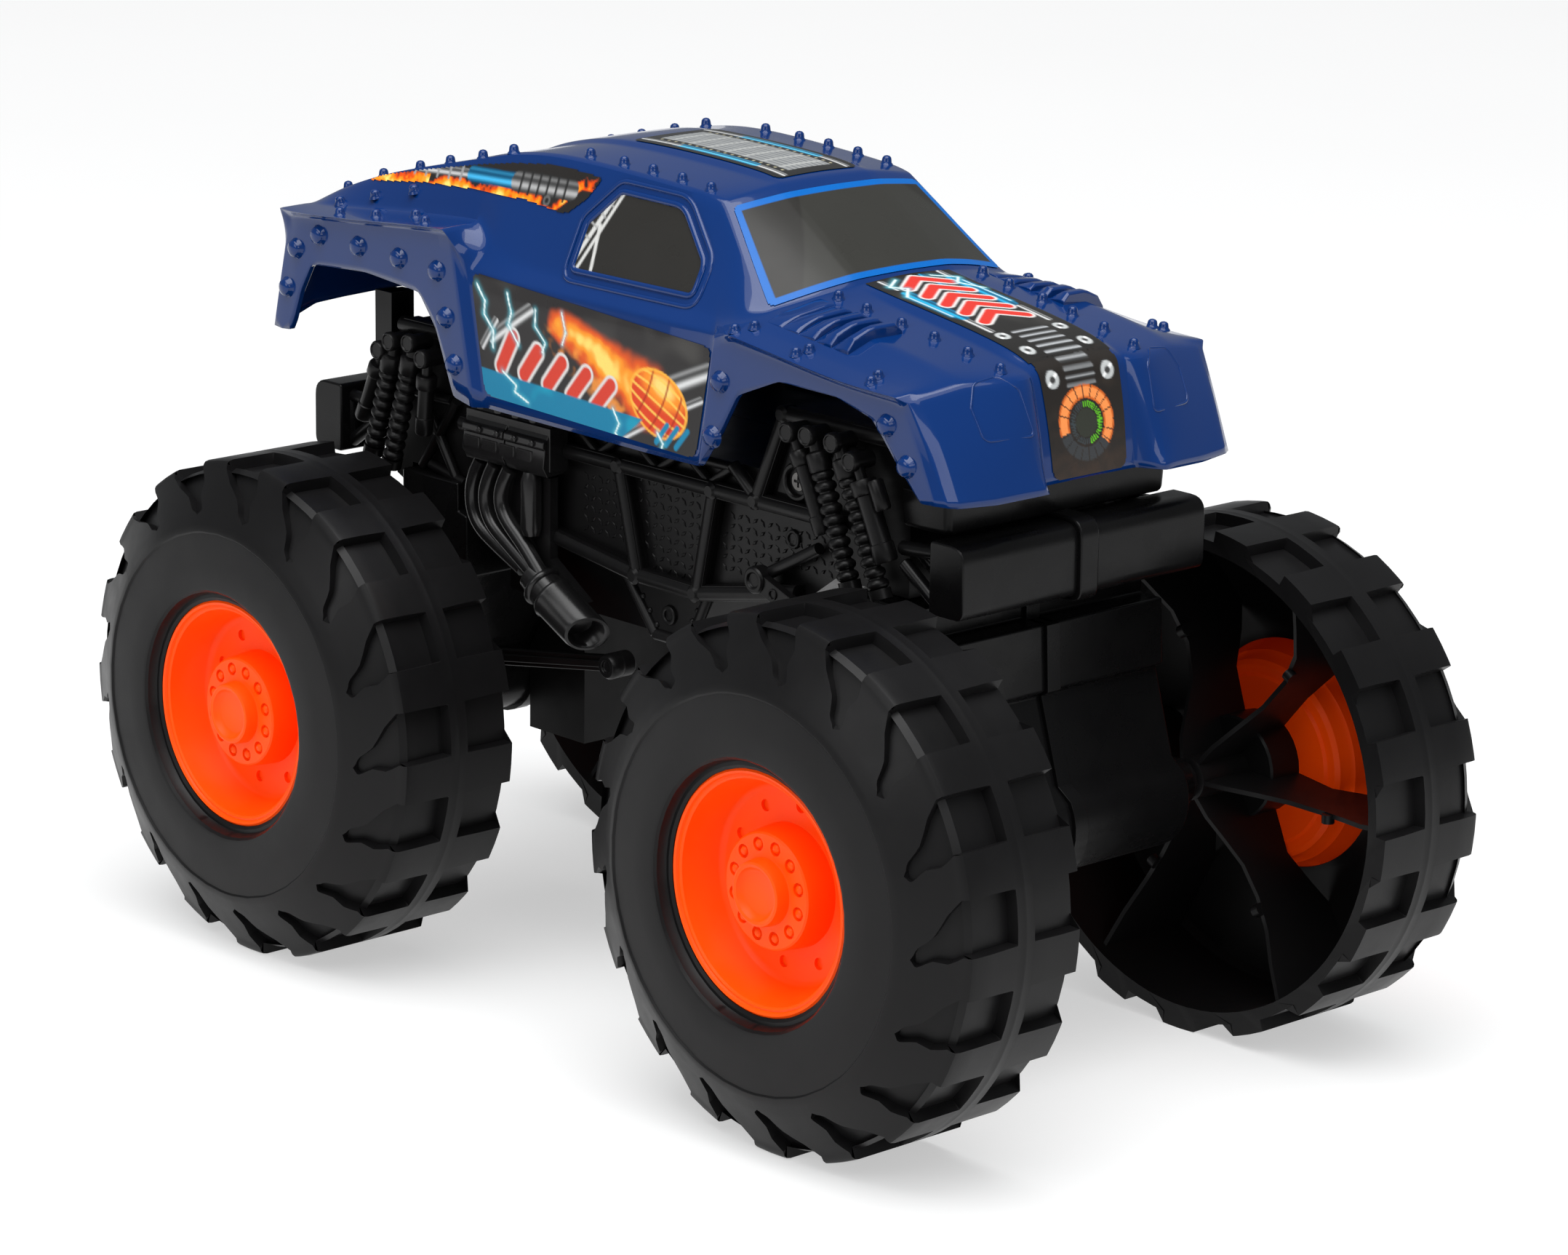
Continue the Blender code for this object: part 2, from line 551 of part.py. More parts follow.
def make_battery_bay(black, steel):
    """The battery box under the chassis with its cells; returns the door and its screw."""
    low, high = BATTERY_Z
    front, back = BATTERY_Y
    tray = box("battery_box", (-BATTERY_X, BATTERY_X), BATTERY_Y, (low, high), black)
    cut(tray, box("cells_space", (-26.4, 26.4), (front + 2, back - 2), (low - 1, high - 2)))
    cut(tray, box("door_seat", (-29, 29), (front + 1, back - 1), (low - 1, low + 2)))
    door = box("battery_door", (-28.7, 28.7), (front + 1.3, back - 1.3), (low, low + 1.6), black)
    screw_y = back - 5
    cut(door, rod("screw_hole", (0, screw_y, low - 1), (0, screw_y, low + 3), 1.8, 12))
    screw = rod("battery_door_screw", (0, screw_y, low - 0.4), (0, screw_y, low + 1.5), 1.4, 12, steel)
    z = low + 10
    for number in range(4):
        y = (front + back) / 2 + (number - 1.5) * CELL_PITCH
        cell = rod("cell_%d" % (number + 1), (-CELL_L / 2, y, z), (CELL_L / 2 - 1.5, y, z), CELL_R, 14, steel)
        join(cell, rod("nub", (CELL_L / 2 - 2, y, z), (CELL_L / 2 - 0.5, y, z), 2.7, 10))
    return door, screw


def make_electronics(black, steel, nylon):
    """Receiver board and power switch; returns the switch's knob."""
    board = box("receiver_board", (-22, 22), (-44, 4), (146, 147.6), nylon)
    join(board, box("chip", (-8, 6), (-30, -14), (147, 149.4)))
    join(board, box("coil", (-17, -11), (-14, -4), (147, 152)))
    switch = box("switch_body", (-22, -8), (-12, -4), (113.4, 119), steel)
    cut(switch, box("slot", (-19.8, -10.2), (-9.4, -6.6), (112, 116.2)))
    return box("switch_knob", (-17, -13), (-9.0, -7.0), (109.2, 115.8), black)


def make_chassis(black, steel, nylon):
    for side, sign in SIDES:
        make_chassis_half(sign, black)
        for where, struts in STRUTS.items():
            make_shocks("shocks_%s_%s" % (where, side), sign, struts, black)
        make_engine("engine_" + side, sign, black)
        make_link("link_front_" + side, sign * 44.6, (-49, 138.4), (-76, 128.5), black)
        make_link("link_rear_" + side, sign * 37.0, (17, 99), (92, 86.5), black)
    make_side_screws(steel)
    make_bumper("front_bumper", -1, 131.0, 103.6, 46.9, black)
    make_bumper("rear_bumper", 1, 149.0, 121.6, 44.6, black)
    box("nose_support", (-44, 44), (-120.4, -103.4), (163.4, 174.6), black)

    slide = joint_empty("power_switch_slide", -15, -8, 112)
    hang(make_electronics(black, steel, nylon), slide)
    hinge = joint_empty("battery_door_hinge", 0, BATTERY_Y[0] + 1.3, BATTERY_Z[0])
    for piece in make_battery_bay(black, steel):
        hang(piece, hinge)


# ---------------------------------------------------------------- assembly

def clear_scene():
    for item in list(bpy.data.objects):
        bpy.data.objects.remove(item)


def build():
    clear_scene()
    blue = material("body_blue", (0.012, 0.035, 0.23), 0.18)
    black = material("moulded_black", (0.018, 0.018, 0.02), 0.42)
    tyre_black = material("tyre_black", (0.022, 0.022, 0.023), 0.5)
    orange = material("rim_orange", (1.0, 0.09, 0.008), 0.4)
    steel = material("steel", (0.55, 0.55, 0.57), 0.35, 1.0)
    nylon = material("nylon", (0.8, 0.79, 0.74), 0.5)

    make_body(blue)
    front, rear = make_drive(black, steel, nylon)
    make_wheels(front, rear, tyre_black, orange)
    for where in ENDS:
        for side, end in SIDES:
            make_housing_half("%s_housing_%s" % (where, side), where == "front", end, black)
    make_chassis(black, steel, nylon)


build()
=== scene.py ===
"""Looks of the toy monster truck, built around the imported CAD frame.

Lengths are written in millimetres and turned into metres when a piece is made.
The front faces -Y, the truck's right side is -X, and +Z is up, as in the frame.
"""
import json
import math

import bmesh
import bpy
import numpy as np
from mathutils import Matrix, Vector
from mathutils.bvhtree import BVHTree


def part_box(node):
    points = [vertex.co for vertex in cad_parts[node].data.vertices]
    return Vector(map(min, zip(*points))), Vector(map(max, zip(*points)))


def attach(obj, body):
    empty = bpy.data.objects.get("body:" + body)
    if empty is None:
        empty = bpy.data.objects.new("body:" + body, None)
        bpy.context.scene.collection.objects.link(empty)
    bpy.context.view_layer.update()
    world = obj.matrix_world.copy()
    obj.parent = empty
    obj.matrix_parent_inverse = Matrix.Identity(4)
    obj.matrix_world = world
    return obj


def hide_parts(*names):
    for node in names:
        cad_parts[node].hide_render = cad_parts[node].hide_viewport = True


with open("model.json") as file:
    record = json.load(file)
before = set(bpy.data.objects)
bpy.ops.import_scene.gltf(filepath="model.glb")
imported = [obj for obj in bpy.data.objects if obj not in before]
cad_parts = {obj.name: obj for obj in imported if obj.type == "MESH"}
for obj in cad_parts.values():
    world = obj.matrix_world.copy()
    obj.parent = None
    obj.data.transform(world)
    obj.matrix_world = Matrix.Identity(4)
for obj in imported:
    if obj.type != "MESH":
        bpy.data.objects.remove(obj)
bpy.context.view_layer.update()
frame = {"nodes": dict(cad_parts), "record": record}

MM = 0.001
SIDES = (("left", 1), ("right", -1))
ENDS = (("front", -1), ("rear", 1))
TAU = math.tau


def centre_mm(node):
    """Centre of a CAD node's box, in millimetres."""
    low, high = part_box(node)
    return (low + high) / 2 / MM


AXLE_Y = centre_mm("rear_axle_rod").y
AXLE_Z = centre_mm("rear_axle_rod").z


# ================================================================ materials

class Nodes:
    """A small builder for one material's node tree."""

    def __init__(self, name, color, roughness, metallic=0.0, coat=0.0):
        self.material = bpy.data.materials.new(name)
        self.material.use_nodes = True
        self.tree = self.material.node_tree
        self.shader = self.tree.nodes["Principled BSDF"]
        self.set("Base Color", (*color, 1.0))
        self.set("Roughness", roughness)
        self.set("Metallic", metallic)
        self.set("Coat Weight", coat)
        self.coords = self.add("ShaderNodeTexCoord").outputs["Object"]

    def set(self, socket, value):
        self.shader.inputs[socket].default_value = value

    def add(self, kind, **settings):
        node = self.tree.nodes.new(kind)
        for key, value in settings.items():
            setattr(node, key, value)
        return node

    def link(self, source, target):
        self.tree.links.new(source, target)
        return target.node

    def noise(self, scale, detail=4.0, rough=0.5):
        node = self.add("ShaderNodeTexNoise")
        node.inputs["Scale"].default_value = scale
        node.inputs["Detail"].default_value = detail
        node.inputs["Roughness"].default_value = rough
        self.link(self.coords, node.inputs["Vector"])
        return node.outputs["Fac"]

    def spread(self, factor, low, high):
        """Map a 0..1 factor on to a range of values."""
        node = self.add("ShaderNodeMapRange")
        node.inputs["From Min"].default_value = 0.3
        node.inputs["From Max"].default_value = 0.7
        node.inputs["To Min"].default_value = low
        node.inputs["To Max"].default_value = high
        self.link(factor, node.inputs["Value"])
        return node.outputs["Result"]

    def mix(self, factor, low, high):
        node = self.add("ShaderNodeMix", data_type="RGBA")
        self.link(factor, node.inputs["Factor"])
        for socket, color in ((node.inputs[6], low), (node.inputs[7], high)):
            if isinstance(color, tuple):
                socket.default_value = (*color, 1.0)
            else:
                self.link(color, socket)
        return node.outputs[2]

    def bump(self, height, strength, distance, normal=None):
        node = self.add("ShaderNodeBump")
        node.inputs["Strength"].default_value = strength
        node.inputs["Distance"].default_value = distance
        self.link(height, node.inputs["Height"])
        if normal:
            self.link(normal, node.inputs["Normal"])
        return node.outputs["Normal"]

    def to(self, socket, output):
        self.link(output, self.shader.inputs[socket])


def moulded(name, color, roughness, spread=0.06, grain=2200.0, grain_depth=0.00004, shift=0.12, specular=0.5):
    """Moulded plastic: faint mottling of colour and gloss, and a fine eroded grain."""
    look = Nodes(name, color, roughness)
    look.set("Specular IOR Level", specular)
    cloud = look.noise(38.0, 5.0)
    dark = tuple(c * (1 - shift) for c in color)
    light = tuple(min(1.0, c * (1 + shift)) for c in color)
    look.to("Base Color", look.mix(cloud, dark, light))
    look.to("Roughness", look.spread(look.noise(90.0, 6.0), roughness - spread, roughness + spread))
    look.to("Normal", look.bump(look.noise(grain, 2.0), 0.3, grain_depth))
    return look.material


def tyre_material():
    """Soft charcoal vinyl: a matte bloom, slightly burnished, with a very fine grain."""
    look = Nodes("tyre_vinyl", (0.005, 0.005, 0.0052), 0.46)
    look.set("Specular IOR Level", 0.17)
    look.to("Base Color", look.mix(look.noise(24.0, 6.0, 0.6),
                                   (0.004, 0.0038, 0.004), (0.0064, 0.0062, 0.0066)))
    look.to("Roughness", look.spread(look.noise(45.0, 8.0, 0.65), 0.3, 0.44))
    fine = look.bump(look.noise(1800.0, 3.0), 0.3, 0.00004)
    look.to("Normal", look.bump(look.noise(60.0, 2.0), 0.08, 0.0005, fine))
    return look.material


def orange_material():
    look = Nodes("rim_orange", (1.0, 0.1, 0.006), 0.4)
    look.set("Subsurface Weight", 0.12)
    look.set("Subsurface Radius", (0.004, 0.0012, 0.0004))
    # Faint red emission: a painted glow that stands in for light showing through the thin rim
    look.set("Emission Color", (1.0, 0.02, 0.0, 1.0))
    look.set("Emission Strength", 0.06)
    look.set("Specular IOR Level", 0.16)
    look.to("Base Color", look.mix(look.noise(30.0, 3.0), (0.95, 0.066, 0.0004), (1.0, 0.095, 0.0008)))
    look.to("Roughness", look.spread(look.noise(120.0, 5.0), 0.34, 0.46))
    look.to("Normal", look.bump(look.noise(1500.0, 2.0), 0.35, 0.00003))
    return look.material


def blue_material():
    """Glossy blue moulding with a soft ripple in the reflections."""
    look = Nodes("body_blue", (0.002, 0.026, 0.13), 0.2, coat=0.6)
    look.set("Specular IOR Level", 0.1)
    look.set("Coat Roughness", 0.035)
    look.to("Base Color", look.mix(look.noise(14.0, 3.0), (0.0009, 0.022, 0.118), (0.0018, 0.0265, 0.14)))
    look.to("Roughness", look.spread(look.noise(55.0, 6.0), 0.14, 0.22))
    look.to("Normal", look.bump(look.noise(34.0, 1.5), 0.10, 0.0008))
    return look.material


def film_material():
    """Printed film: its colours are painted on the mesh, under a thin satin varnish."""
    look = Nodes("printed_film", (0.05, 0.05, 0.05), 0.3, coat=0.06)
    look.set("Specular IOR Level", 0.2)
    look.set("Coat Roughness", 0.1)
    paint = look.add("ShaderNodeVertexColor", layer_name="print")
    halftone = look.noise(2600.0, 1.0)
    darker = look.add("ShaderNodeMix", data_type="RGBA", blend_type="MULTIPLY")
    darker.inputs["Factor"].default_value = 1.0
    look.link(paint.outputs["Color"], darker.inputs[6])
    look.link(look.mix(halftone, (0.86, 0.86, 0.86), (1.0, 1.0, 1.0)), darker.inputs[7])
    look.to("Base Color", darker.outputs[2])
    look.to("Roughness", look.spread(look.noise(70.0, 4.0), 0.26, 0.36))
    look.to("Normal", look.bump(look.noise(300.0, 2.0), 0.08, 0.00008))
    return look.material


def metal_material(name, color, roughness, metallic=1.0):
    look = Nodes(name, color, roughness, metallic)
    look.to("Roughness", look.spread(look.noise(260.0, 6.0), roughness * 0.8, roughness * 1.3))
    look.to("Normal", look.bump(look.noise(900.0, 3.0), 0.3, 0.00003))
    return look.material


def board_material():
    """Green laminate with faint tracks under the solder mask."""
    look = Nodes("circuit_board", (0.01, 0.1, 0.035), 0.35, coat=0.3)
    tracks = look.add("ShaderNodeTexVoronoi", feature="DISTANCE_TO_EDGE", distance="CHEBYCHEV")
    tracks.inputs["Scale"].default_value = 260.0
    look.link(look.coords, tracks.inputs["Vector"])
    look.to("Base Color", look.mix(look.spread(tracks.outputs["Distance"], 0.0, 1.0),
                                   (0.03, 0.2, 0.07), (0.008, 0.085, 0.03)))
    return look.material


LOOK = {
    "blue": blue_material(),
    "black": moulded("chassis_black", (0.004, 0.0038, 0.004), 0.34, specular=0.2),
    "satin_black": moulded("satin_black", (0.0036, 0.0035, 0.0037), 0.28, 0.05, specular=0.17),
    "gloss_black": moulded("gloss_black", (0.006, 0.0058, 0.006), 0.24, 0.04, specular=0.36),
    "tyre": tyre_material(),
    "orange": orange_material(),
    "film": film_material(),
    "steel": metal_material("plated_steel", (0.56, 0.56, 0.58), 0.32),
    "dark_steel": metal_material("blackened_steel", (0.16, 0.155, 0.15), 0.42),
    "nylon": moulded("natural_nylon", (0.78, 0.76, 0.7), 0.5, 0.05, shift=0.04),
    "board": board_material(),
    "cell": moulded("cell_sleeve", (0.09, 0.1, 0.11), 0.3, 0.04),
}


# ================================================================ mesh tools

def place(axis, along, u, v):
    """A point from its coordinate along an axis and (u, v) across it, in X, Y, Z order."""
    return {"X": (along, u, v), "Y": (u, along, v), "Z": (u, v, along)}[axis]


def piece(name, form, look, body, slot, smooth=32.0, bevel=0.0):
    """Make an object from a bmesh drawn in millimetres and let it ride on a body."""
    bmesh.ops.recalc_face_normals(form, faces=form.faces)
    bmesh.ops.scale(form, vec=Vector((MM, MM, MM)), verts=form.verts)
    mesh = bpy.data.meshes.new(name)
    form.to_mesh(mesh)
    form.free()
    mesh.materials.append(LOOK[look])
    made = bpy.data.objects.new(name, mesh)
    bpy.context.scene.collection.objects.link(made)
    mesh.shade_smooth()
    mesh.set_sharp_from_angle(angle=math.radians(smooth))
    if bevel:
        edge = made.modifiers.new("edge", "BEVEL")
        edge.width = bevel * MM
        edge.segments = 2
        edge.limit_method = "ANGLE"
        edge.angle_limit = math.radians(35)
        edge.harden_normals = True
    if body:
        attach(made, body)
    return made


def prism(form, outline, axis, low, high):
    """Add a straight extrusion of an outline along an axis."""
    ring = [[form.verts.new(place(axis, at, u, v)) for u, v in outline] for at in (low, high)]
    form.faces.new(ring[0])
    form.faces.new(ring[1][::-1])
    for i in range(len(outline)):
        j = (i + 1) % len(outline)
        form.faces.new((ring[0][i], ring[1][i], ring[1][j], ring[0][j]))


def block(form, x, y, z):
    prism(form, [(y[0], z[0]), (y[1], z[0]), (y[1], z[1]), (y[0], z[1])], "X", *sorted(x))


def bar_outline(start, end, half_width):
    """The corners of a straight bar between two points of a side view."""
    start, end = Vector(start), Vector(end)
    across = (end - start).normalized().orthogonal() * half_width
    return [tuple(p) for p in (start + across, start - across, end - across, end + across)]


def frames_along(points):
    """Points of a path, each with two directions across it, turned as little as possible."""
    points = [Vector(p) for p in points]
    across = None
    for i, point in enumerate(points):
        ahead = (points[min(i + 1, len(points) - 1)] - points[max(i - 1, 0)]).normalized()
        if across is None:
            across = ahead.orthogonal().normalized()
        across = (across - ahead * across.dot(ahead)).normalized()
        yield point, across, ahead.cross(across)


def tube(form, points, radius, sides=12, cap=True):
    """Add a round tube along a path. radius is one number or one for each point."""
    radii = radius if isinstance(radius, (list, tuple)) else [radius] * len(points)
    rings = []
    for (point, u, v), r in zip(frames_along(points), radii):
        angles = [TAU * k / sides for k in range(sides)]
        rings.append([form.verts.new(point + (u * math.cos(a) + v * math.sin(a)) * r) for a in angles])
    for here, there in zip(rings, rings[1:]):
        for k in range(sides):
            form.faces.new((here[k], here[(k + 1) % sides], there[(k + 1) % sides], there[k]))
    if cap:
        form.faces.new(rings[0][::-1])
        form.faces.new(rings[-1])


def turned(form, profile, sides, centre=(0, 0, 0), axis=(1, 0, 0)):
    """Spin an open (along, radius) profile about an axis through centre; radius 0 closes it."""
    turn = Vector(axis).to_track_quat("Z", "Y").to_matrix()
    centre = Vector(centre)
    rings = []
    for along, radius in profile:
        if radius < 1e-6:
            rings.append([form.verts.new(centre + turn @ Vector((0, 0, along)))])
            continue
        ring = []
        for k in range(sides):
            a = TAU * k / sides
            ring.append(form.verts.new(
                centre + turn @ Vector((radius * math.cos(a), radius * math.sin(a), along))))
        rings.append(ring)
    for here, there in zip(rings, rings[1:]):
        for k in range(sides):
            j = (k + 1) % sides
            if len(here) == 1:
                form.faces.new((here[0], there[j], there[k]))
            elif len(there) == 1:
                form.faces.new((here[k], here[j], there[0]))
            else:
                form.faces.new((here[k], here[j], there[j], there[k]))


def curved(points, steps=6):
    """A smooth path through the points (centripetal-like Catmull-Rom)."""
    points = [Vector(p) for p in points]
    padded = [points[0] * 2 - points[1], *points, points[-1] * 2 - points[-2]]
    path = []
    for a, b, c, d in zip(padded, padded[1:], padded[2:], padded[3:]):
        for k in range(steps):
            t = k / steps
            path.append(0.5 * (2 * b + (c - a) * t + (2 * a - 5 * b + 4 * c - d) * t * t
                               + (3 * b - a - 3 * c + d) * t ** 3))
    return path + [points[-1]]


# ================================================================ body shell

def body_stations():
    """Half sections of the shell, nose to tail: centre, top corner, then four points down the side."""
    return [
        ((0, -131.5, 176), (40, -136, 174.8), (51.6, -134, 175.2),
         (54.6, -132.2, 175.4), (56.4, -129, 175.6), (57, -124, 175.6)),
        ((0, -129.4, 192), (40, -130.6, 191.5), (53, -127.4, 191.0),
         (56, -125.0, 190.6), (57, -122.5, 189.6), (57, -114, 185.4)),
        ((0, -125.8, 205.6), (40, -122.6, 205.2), (53.8, -119.9, 202.6),
         (57.2, -118.9, 201.8), (57.2, -117, 200), (57, -108.5, 191.6)),
        ((0, -119.6, 210.4), (41, -117.8, 207.6), (54.4, -117.2, 204.6),
         (60.2, -116.4, 203.6), (57.4, -115.0, 201.4), (57, -104.6, 195.4)),
        ((0, -96, 214.8), (41, -96, 211.7), (53, -95, 206.4), (60.4, -94, 204.2),
         (57.4, -94, 202.2), (57, -91, 199.0)),
        ((0, -73, 218.2), (42, -72, 214.4), (53, -71, 209.4), (60.4, -71, 207.4),
         (57.4, -71, 205.4), (57, -68, 199.4)),
        ((0, -59.8, 220.4), (45.6, -52.2, 214.6), (53, -51.4, 212.0),
         (59.6, -51, 209.6), (57.4, -51, 207.6), (57, -51.6, 192.8)),
        ((0, -58.4, 221.4), (45.2, -50.4, 215.4), (52.4, -46.2, 212.2),
         (57.8, -46.2, 209.2), (57.4, -44.6, 205.4), (57, -44.6, 181)),
        ((0, -42, 232.6), (41.2, -38, 226.4), (51.2, -41.4, 212.4), (57.3, -42.0, 207.8),
         (57.4, -40.9, 202), (57, -35.6, 170.7)),
        ((0, -31, 239.8), (37.8, -28, 235.6), (50.5, -35, 212.4), (54.6, -39.4, 207.8),
         (54.9, -38.8, 202), (54.6, -33.4, 169.2)),
        ((0, -25, 244.2), (36.4, -22.5, 240.2), (50, -20, 212.6), (54.3, -20, 208),
         (55, -20, 203), (54.6, -20, 169.1)),
        ((0, -16, 246.2), (37.4, -15.5, 241.8), (50, -10, 212.7), (54.3, -10, 208.1),
         (55, -10, 203), (54.6, -10, 169.1)),
        ((0, 12, 247.4), (38.2, 12, 243.4), (50.2, 12, 213.0), (54.3, 12, 208.3),
         (55, 12, 203), (54.6, 12, 169.4)),
        ((0, 36, 247.6), (38.6, 36, 244.4), (50.3, 34, 213.2), (54.4, 34, 208.5),
         (55.1, 34, 203), (54.7, 34, 169.7)),
        ((0, 52, 246.6), (39, 52, 244.2), (50.4, 50, 213.4), (54.4, 50, 208.7),
         (55.1, 50, 203), (54.8, 50, 169.9)),
        ((0, 68, 243.0), (39.6, 67, 242.2), (49.6, 61.2, 217.4), (54.4, 66.6, 209.6),
         (54.9, 65.6, 204), (54.7, 58.9, 170)),
        ((0, 75, 240.4), (40, 74, 240.4), (46.6, 72.0, 222.2), (60.6, 71.8, 221.2),
         (57.6, 72.0, 219.4), (57.2, 62.4, 169.9)),
        ((0, 82, 237.8), (40.3, 80, 238.9), (46.8, 77, 222.2), (61, 76.8, 221.3),
         (57.6, 77, 219.5), (57, 71.2, 171.6)),
        ((0, 93, 234.4), (40.6, 90, 236.7), (47, 84, 221.8), (61, 83, 220.9),
         (57.6, 83, 219.2), (57, 79.2, 190.6)),
        ((0, 107, 230.2), (41, 104, 233.4), (47.2, 96, 221.0), (61, 94, 220.1),
         (57.6, 94, 218.4), (57, 87.0, 200.2)),
        ((0, 124, 225.6), (41.4, 121, 229.2), (47.6, 115, 219.4), (61, 113, 218.3),
         (57.6, 113, 216.6), (57, 112, 202.3)),
        ((0, 141, 220.4), (42, 138, 223.2), (48, 134, 217.8), (61, 134, 216.9),
         (57.6, 134, 215.2), (57, 137.6, 200.8)),
        ((0, 150, 217.2), (42, 147, 219.4), (48.4, 143, 217.2),
         (60.4, 143.4, 216.4), (57.6, 143.4, 214.2), (57, 143.2, 191.4)),
        ((0, 158.2, 213.4), (42.2, 156.2, 214.8), (48.8, 151.6, 216.4),
         (59.4, 150.4, 216.5), (57.2, 147.0, 213.4), (57, 146.6, 182.4)),
        ((0, 159.4, 208), (42, 158.4, 208), (49, 154.4, 207), (54.6, 151.6, 206.8),
         (56.8, 150.6, 206.4), (57, 148.4, 179.2)),
        ((0, 158.6, 185), (41, 158.2, 184), (49, 157.8, 181.4), (54, 157.4, 179.6),
         (56.6, 156.8, 179.2), (57, 152.4, 178.9)),
    ]


STRIP_X = (16.0, 19.0, 30.0)        # strip edge, foot of its step, rivet line
POD_X = (15.0, 18.0, 22.6)          # the same rows where the nose pods stand forward
POD_FORWARD = (7.2, 5.0, 2.8)       # how far the pods' inner edges lead the centre strip
STRIP_STEP = (0.0, 1.6, 1.2)        # how far these rows lie below the strip
COWL_ROW, ROOF_ROW, TAIL_ROW = 6, 10, 23
SHELL_WALL = 1.6


def half_section(index, station):
    """All points of one half section, from the centre to the lower edge."""
    centre, corner = Vector(station[0]), Vector(station[1])
    on_pods = index < len(POD_FORWARD)
    rows = [centre]
    for row, width in enumerate(POD_X if on_pods else STRIP_X):
        point = centre.lerp(corner, (width / corner.x) ** 2.2)
        point.x = width
        if on_pods:
            point.y = centre.y - (POD_FORWARD[index] if row == 2 else 0.0)
        elif index < COWL_ROW:
            point.z -= STRIP_STEP[row]
        elif ROOF_ROW < index < TAIL_ROW:
            point.z -= 0.6 * STRIP_STEP[row]
        rows.append(point)
    return rows + [Vector(p) for p in station[1:]]


# How sharp each line along the shell is, from the centre out, and which cross lines are sharp
LINE_CREASE = (0.0, 0.8, 0.65, 0.0, 0.6, 0.45, 0.93, 0.93, 1.0)
CROSS_CREASE = {2: 0.42, COWL_ROW: 0.75, ROOF_ROW: 0.6, TAIL_ROW: 0.8, 0: 1.0, 25: 1.0}
# Cross lines that are sharp only from the shoulder down, where the fenders step out of the body side
SIDE_CREASE = {2: 0.6, 3: 0.85, 8: 0.8, 9: 0.85, 15: 0.95, 16: 0.95, 23: 0.8}
SHOULDER_LINE = 5
# Stations whose fender lip and shoulder are crisp, and the rows these are on
CRISP_STATIONS = (*range(3, 7), *range(16, 24))
CRISP_ROWS = (5, 6, 7)


def make_shell():
    """The moulded shell: a mirrored cage of sections with creases, thickened and subdivided."""
    form = bmesh.new()
    crease = form.edges.layers.float.new("crease_edge")
    rows = []
    for index, station in enumerate(body_stations()):
        half = half_section(index, station)
        left = [form.verts.new(p) for p in half]
        right = [form.verts.new((-p.x, p.y, p.z)) for p in half[1:]]
        rows.append(right[::-1] + left)
    middle = len(rows[0]) // 2
    for front, back in zip(rows, rows[1:]):
        for i in range(len(front) - 1):
            form.faces.new((front[i], front[i + 1], back[i + 1], back[i]))
    for index, row in enumerate(rows):
        for i in range(len(row) - 1):
            edge = form.edges.get((row[i], row[i + 1]))
            sharp = CROSS_CREASE.get(index, 0.0)
            if min(abs(i - middle), abs(i + 1 - middle)) >= SHOULDER_LINE:
                sharp = SIDE_CREASE.get(index, sharp)
            edge[crease] = sharp
        if index + 1 < len(rows):
            for i, vert in enumerate(row):
                line = abs(i - middle)
                crisp = index in CRISP_STATIONS and line in CRISP_ROWS
                form.edges.get((vert, rows[index + 1][i]))[crease] = 0.98 if crisp else LINE_CREASE[line]
    shell = piece("body_shell_skin", form, "blue", "chassis", "body_paint", smooth=60)
    wall = shell.modifiers.new("wall", "SOLIDIFY")
    wall.thickness = SHELL_WALL * MM
    wall.offset = -1.0
    wall.use_even_offset = True
    wall.edge_crease_rim = 0.9
    smooth = shell.modifiers.new("smooth", "SUBSURF")
    smooth.levels = 3
    smooth.render_levels = 3
    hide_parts("body_shell")
    return shell


class Surface:
    """The finished shell's surface, for laying things on it."""

    def __init__(self, shell):
        graph = bpy.context.evaluated_depsgraph_get()
        self.tree = BVHTree.FromObject(shell, graph)

    def cast(self, point, toward, reach=60.0):
        """Where a ray through the point meets the shell, and the normal there, in mm."""
        toward = Vector(toward).normalized()
        origin = (Vector(point) - toward * reach) * MM
        spot, normal, _, _ = self.tree.ray_cast(origin, toward, 2 * reach * MM)
        if spot is None:
            return None, None
        if normal.dot(toward) > 0:
            normal = -normal
        return spot / MM, normal


def rivet(form, spot, normal, radius=1.9, height=2.0, skirt=0.35):
    """A round-headed rivet with a small fillet at its foot."""
    profile = [(-0.3, radius + skirt + 0.2), (0.12, radius + skirt),
               (0.5, radius), (height * 0.55, radius * 0.93)]
    profile += [(height * (0.55 + 0.45 * math.sin(a)), radius * 0.93 * math.cos(a))
                for a in (math.radians(28), math.radians(56))]
    turned(form, profile + [(height, 0)], 16, spot, normal)


def between(start, end, count):
    start, end = Vector(start), Vector(end)
    return [start.lerp(end, k / (count - 1)) for k in range(count)]


DOWN = (0, 0, -1)


def top_rivets():
    """(x, y) of the studs on the upper faces of one half, with their size."""
    small = [(34.0, y) for y in (-14.5, -2.4, 10.0, 22.4, 37.0)]
    small += [(25.9, -121.8), (26.5, -109.9), (26.8, -97.3), (27.3, -85.0), (27.6, -71.5), (28.0, -60.6)]
    small += [(37.5, y) for y in (67.0, 81.0, 96.0, 110.0)] + [(38.6, y) for y in (126.0, 143.0)]
    edge = [(56.8, y) for y in (-104.0, -74.5, -50.0)] + [(53.2, y) for y in (-103.0, -76.0, -54.0)]
    edge += [(57.4, 123.4), (55.6, 108.6), (51.4, 95.2), (47.2, 136.0),
             (45.4, 121.3), (44.4, 104.3), (57.0, 84.0)]
    return [(p, 1.5, 2.6) for p in small] + [(p, 1.5, 2.3) for p in edge]


